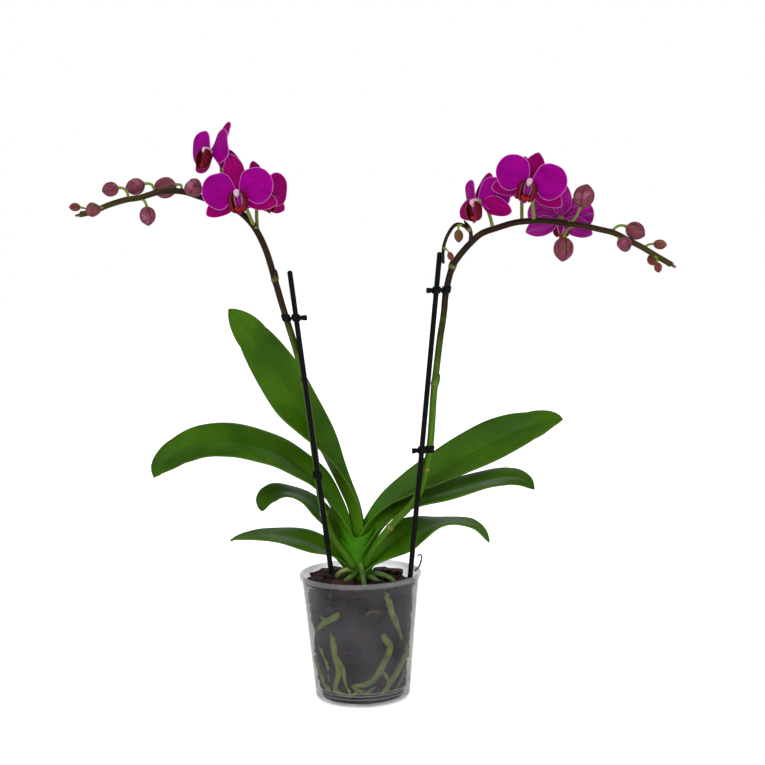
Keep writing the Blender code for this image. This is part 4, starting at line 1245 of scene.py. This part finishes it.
def lipShapes(shape, here):
    def at(x, y, z):
        return here @ Matrix.Translation(Vector((x, y, z)) * mm)

    for side in (-1, 1):  # the two side lobes curve like a pair of brackets

        def place(u, v):
            a = 1 - 2 * v
            share, sheet = abs(u), (1 if u > 0 else -1)
            taper = max(0.0, 1 - abs(a) ** 2.4) ** 0.5
            theta = math.radians(-115 + 195 * share)
            thick = 0.55 * math.sin(math.pi * share) ** 0.5 if 0 < share < 1 else 0.0
            r = 4.3 * taper * (1 + 0.06 * math.sin(a * 6)) + sheet * thick * taper
            x = side * (4.9 + r * math.cos(theta) - 1.5 * a * a)
            z = 8.2 + r * math.sin(theta) * 1.15 + 1.5 * (1 - a) / 2
            y = -7.6 + 10.2 * a
            return here @ (Vector((x, y, z)) * mm), (share, a, 0), (v, max(share, 1 - share * 7), 0)

        surface(shape, 20, 22, place, 0)
    # throat, with pale lines down both sides
    throat = at(0, -5.5, 4.6) @ Matrix.Rotation(math.pi / 2, 4, "X")
    ball(shape, throat, Vector((4.4, 2.6, 9.2)) * mm, 1, 24, 16,
         lambda a, v: (1.0, 1 - abs(abs(math.cos(a)) - 0.8) * 2.6, 0.0))
    # callus: two swellings and the ridge between them
    for x, y, z, size in ((-2.7, -14.2, 8.2, 3.0), (2.7, -14.2, 8.2, 3.0), (0, -15.6, 9.0, 2.6)):
        ball(shape, at(x, y, z), Vector((size, size * 0.85, size * 0.8)) * mm, 2, 16, 10)
    # middle lobe, a small pointed tongue that reaches forward and down
    tongue = at(0, -16.2, 8.6) @ Matrix.Rotation(math.radians(35), 4, "X")
    tongue = tongue @ Matrix.Translation((0, 0, 1.5 * mm))
    ball(shape, tongue, Vector((3.4, 1.5, 4.0)) * mm, 3, 16, 12, lambda a, v: (1.15 - 0.75 * v, 0.0, 0.0))
    # column and its rounded cap with a small beak
    column = [here @ (Vector(p) * mm) for p in ((0, 0.5, 0), (0, 1.8, 3.2), (0, 2.0, 6.0), (0, 1.2, 8.0))]
    tube(shape, column, lambda t, a: (2.2 + 0.5 * t) * mm, 16, 4)
    cap = at(0, 0.4, 8.4) @ Matrix.Rotation(math.radians(100), 4, "X")
    ball(shape, cap, Vector((3.1, 2.5, 4.2)) * mm, 4, 20, 12,
         lambda a, v: (1.0 - 0.6 * smooth((v - 0.45) * 1.9), 0.0, 0.0))


def stalkBase(name, near):  # the nearest point on a spike's centre line
    line = spikeLine(name)
    goal = Vector(near) * mm
    index = min(range(len(line)), key=lambda i: (line[i] - goal).length)
    ahead = (line[min(index + 1, len(line) - 1)] - line[max(index - 1, 0)]).normalized()
    return line[index], ahead


def bowLine(start, control, end, count):
    steps = [i / (count - 1) for i in range(count)]
    return [start * (1 - t) ** 2 + control * 2 * t * (1 - t) + end * t * t for t in steps]


def bract(shape, start, ahead, towards, look=0, long=5.0):  # the small scale where a stalk joins
    way = towards - start
    way = (way - ahead * way.dot(ahead)).normalized()
    here = facingTo(start + way * 1.9 * mm - ahead * 1.2 * mm, way * 0.8 + ahead * 0.35)
    ball(shape, here, Vector((2.5, 1.7, long / 2)) * mm, look, 12, 8, lambda a, v: (1.1 - 0.6 * v, 0.0, 0.0))


def buildSheets(name, spec, seed, looks):  # two petals and three sepals
    here = facing(spec)
    turnedAway = abs(spec["yaw"]) > 90
    petalLook, sepalLook = (2, 2) if turnedAway else (spec.get("petalLook", 0), 1)
    shape = newShape()
    for i, angle in enumerate(flowers["petalAngles"]):
        blade(shape, here, angle, spec["swept"][0], "petal", 0.6 + 0.3 * i, petalLook, seed + i + 0.3)
    for i, angle in enumerate((flowers["dorsalAngle"], *flowers["sepalAngles"])):
        blade(shape, here, angle, spec["swept"][i + 1], "sepal", -1.3 - 0.6 * i, sepalLook, seed + i + 2.6)
    publish(f"{name}_petals", shape, looks, "petal", name, thick=flowers["thick"] * mm)


def buildStalk(name, spec, look):
    here = facing(spec)
    shape = newShape()
    ball(shape, here @ Matrix.Translation((0, 0, -1.2 * mm)), Vector((4.2, 4.2, 2.4)) * mm)
    start, ahead = stalkBase(*spec["stalk"])
    bend, end = (here @ Vector((0, 0, -back * mm)) for back in (16, 2.2))
    line = bowLine(start, bend, end, 22)

    def girth(t, angle):
        return (1.75 + 0.6 * smooth((t - 0.6) * 2.5)) * mm * (1 + 0.04 * math.cos(angle * 3))

    tube(shape, line, girth, 14)
    bract(shape, start, ahead, line[5])
    publish(f"{name}_stalk", shape, [look], "stem")


def buildFlowers():
    petal = petalMaterial("petalVelvet", hue(136, 0, 118), hue(158, 0, 140), hue(112, 0, 92), 0.5)
    sepal = petalMaterial("sepalVelvet", hue(134, 0, 88), hue(152, 0, 104), hue(104, 0, 62), 0.55)
    faded = petalMaterial("sepalBack", hue(138, 4, 116), hue(172, 36, 150), hue(200, 96, 180), 0.45)
    stalk = stalkMaterial("flowerStalk", hue(124, 134, 58), hue(186, 140, 122))
    lipLooks = [
        lipMaterial("lipLobe", hue(78, 0, 12), hue(112, 0, 28), hue(186, 60, 110), 0.9),
        lipMaterial("lipThroat", hue(140, 0, 110), hue(170, 20, 140), hue(238, 206, 226), 0.62),
        lipMaterial("lipCallus", hue(120, 8, 6), hue(190, 52, 16), hue(240, 170, 60), 2.0),
        lipMaterial("lipTongue", hue(120, 0, 70), hue(150, 10, 110), hue(190, 90, 170), 2.0),
        lipMaterial("column", hue(206, 140, 176), hue(236, 214, 222), hue(250, 244, 240), 2.0),
    ]
    for number, (name, spec) in enumerate(flowers["heads"].items()):
        buildSheets(name, spec, number * 5, [petal, sepal, faded])
        buildStalk(name, spec, stalk)
        shape = newShape()
        lipShapes(shape, facing(spec))
        publish(f"{name}_lip_parts", shape, lipLooks, "lip", f"{name}_lip")


buildFlowers()
print("flowers made")


# buds

buds = {
    "smallUnder": 10,  # narrower buds are redder
    # middle, way it points, length, width, and the spike and the place where its stalk joins
    "list": {
        "bud_left_1": ((-229, -22, 504), (-1, -0.3, -0.2), 16, 14, "spike_left", (-214, -19, 499)),
        "bud_left_2": ((-208, -5, 507), (-1, -0.1, -0.25), 19, 16, "spike_left", (-190, -8, 506)),
        "bud_left_3": ((-181, 4, 505), (-1, 0.2, -0.25), 24, 20, "spike_left", (-163, -4, 505)),
        "bud_left_4": ((-149, -27, 504), (0.3, -1, 0.15), 20, 17, "spike_left", (-157, -15, 500)),
        "bud_left_5": ((-195, -18, 478), (0.1, -0.3, -1), 19, 15, "spike_left", (-199, -15, 488)),
        "bud_left_6": ((-244, -33, 485), (-0.3, -1, -0.1), 15, 13.5, "spike_left", (-237, -23, 486)),
        "bud_left_7": ((-264, -18, 488), (-1, -0.1, 0.05), 11, 8, "spike_left", (-252, -18, 486)),
        "bud_right_1": ((222, -15, 489), (0.3, -0.3, 1), 23, 20, "spike_right", (211, -10, 468)),
        "bud_right_2": ((203, -4, 438), (-0.1, -0.2, -1), 24, 19, "spike_right", (224, -4, 452)),
        "bud_right_3": ((272, -9, 454), (0.9, -0.1, -0.5), 20, 17, "spike_right", (250, -10, 460)),
        "bud_right_4": ((259, -25, 442), (0.4, -1, -0.3), 16, 14, "spike_right", (255, -16, 449)),
        "bud_right_5": ((295, -13, 441), (1, -0.1, -0.1), 13, 9.5, "spike_right", (281, -14, 442)),
        "bud_right_6": ((289, -4, 426), (0.3, 0.4, -1), 12, 9.5, "spike_right", (283, -8, 434)),
        "bud_right_7": ((291, -24, 419), (0.05, -0.4, -1), 10, 7.5, "spike_right", (290, -19, 427)),
        "bud_branch_1": ((101, -25, 453), (0, -0.1, -1), 12.5, 8.5, "side_branch", (102, -22, 461)),
        "bud_branch_2": ((93, -31, 434), (0.4, -0.4, -1), 9, 6, "side_branch", (88, -29, 441)),
    },
    "seams": 3,
}


def budMaterial(name, rose, deep, seam, dustAndHighlight):
    material, tree, shader = newMaterial(name, roughness=0.6, specular=0.15)
    place = make(tree, "TexCoord", out="Object")
    along, groove, _ = parts(tree, attribute(tree, "mark"))
    lines = speckle(tree, scaled(tree, attribute(tree, "grain"), (7.0, 7.0, 1.3)), 1.0, 4.0, 0.55)
    fuzz = speckle(tree, place, 1100.0, 2.0)
    base = colours(tree, along, [(0.0, seam), (0.28, rose), (0.8, rose), (1.0, deep)])
    flush = speckle(tree, place, 95.0, 2.0)
    base = blended(tree, spread(tree, flush, 0.0, 0.75, 0.52, 0.7), base, seam)
    # lighter patches: partly a pale dusty coat, partly painted highlight
    base = blended(tree, spread(tree, flush, 0.8, 0.0, 0.3, 0.46), base, dustAndHighlight)
    veined = blended(tree, spread(tree, lines, 0.0, 0.7, 0.48, 0.66), base, deep)
    seamed = blended(tree, spread(tree, groove, 0.0, 0.9, 0.3, 0.9), veined, deep)
    height = sums(tree, "ADD", lines, sums(tree, "MULTIPLY", fuzz, 0.3))
    finishMaterial(tree, shader, seamed, spread(tree, fuzz, 0.5, 0.72), height, 0.35, 0.0005)
    return material


def buildBuds():
    rosy = budMaterial("budRose", hue(130, 60, 80), hue(72, 22, 38), hue(104, 86, 40), hue(164, 102, 122))
    reddish = budMaterial("budTip", hue(122, 58, 50), hue(74, 24, 24), hue(100, 90, 34), hue(146, 96, 76))
    green = stalkMaterial("budStalk", hue(112, 134, 34), hue(128, 134, 44))
    for index, (name, spec) in enumerate(buds["list"].items()):
        middle, way, length, width, spikeName, near = spec
        middle, way = Vector(middle) * mm, Vector(way).normalized()
        look = reddish if width < buds["smallUnder"] else rosy
        shape = newShape()

        def warp(angle, v):
            # 0 to 1 across each folded sepal
            turn = (angle * buds["seams"] + index * 2 + v * 1.2) / math.tau % 1.0
            seam = max(0.0, 1 - turn * 5, (turn - 0.96) * 20)
            step = 0.1 * (turn - 0.5)  # each sepal's free edge stands over the next one
            blunt = 1.08 - 0.12 * abs(math.cos(angle * 1.5 + index))
            egg = 1 + 0.2 * math.sin(math.pi * v) * (0.45 - v) - 0.5 * smooth((v - 0.62) * 2.4)
            return (egg + step) * blunt, seam, 0.0

        ball(shape, facingTo(middle, way), Vector((width / 2, width / 2, length / 2)) * mm, 0, 36, 22, warp)
        base = middle - way * length / 2 * mm
        start, ahead = stalkBase(spikeName, near)
        bend = base - way * (base - start).length * 0.6
        line = bowLine(start, bend, base + way * 1.2 * mm, 18)
        thick = min(1.3, width / 8.5)
        tube(shape, line, lambda t, a: thick * mm * (1 + 0.5 * smooth((t - 0.8) * 5)), 12, 1)
        bract(shape, start, ahead, line[6], 1, 3.6)
        publish(f"{name}_body", shape, [look, green], "bud", name)


buildBuds()
print("buds made")
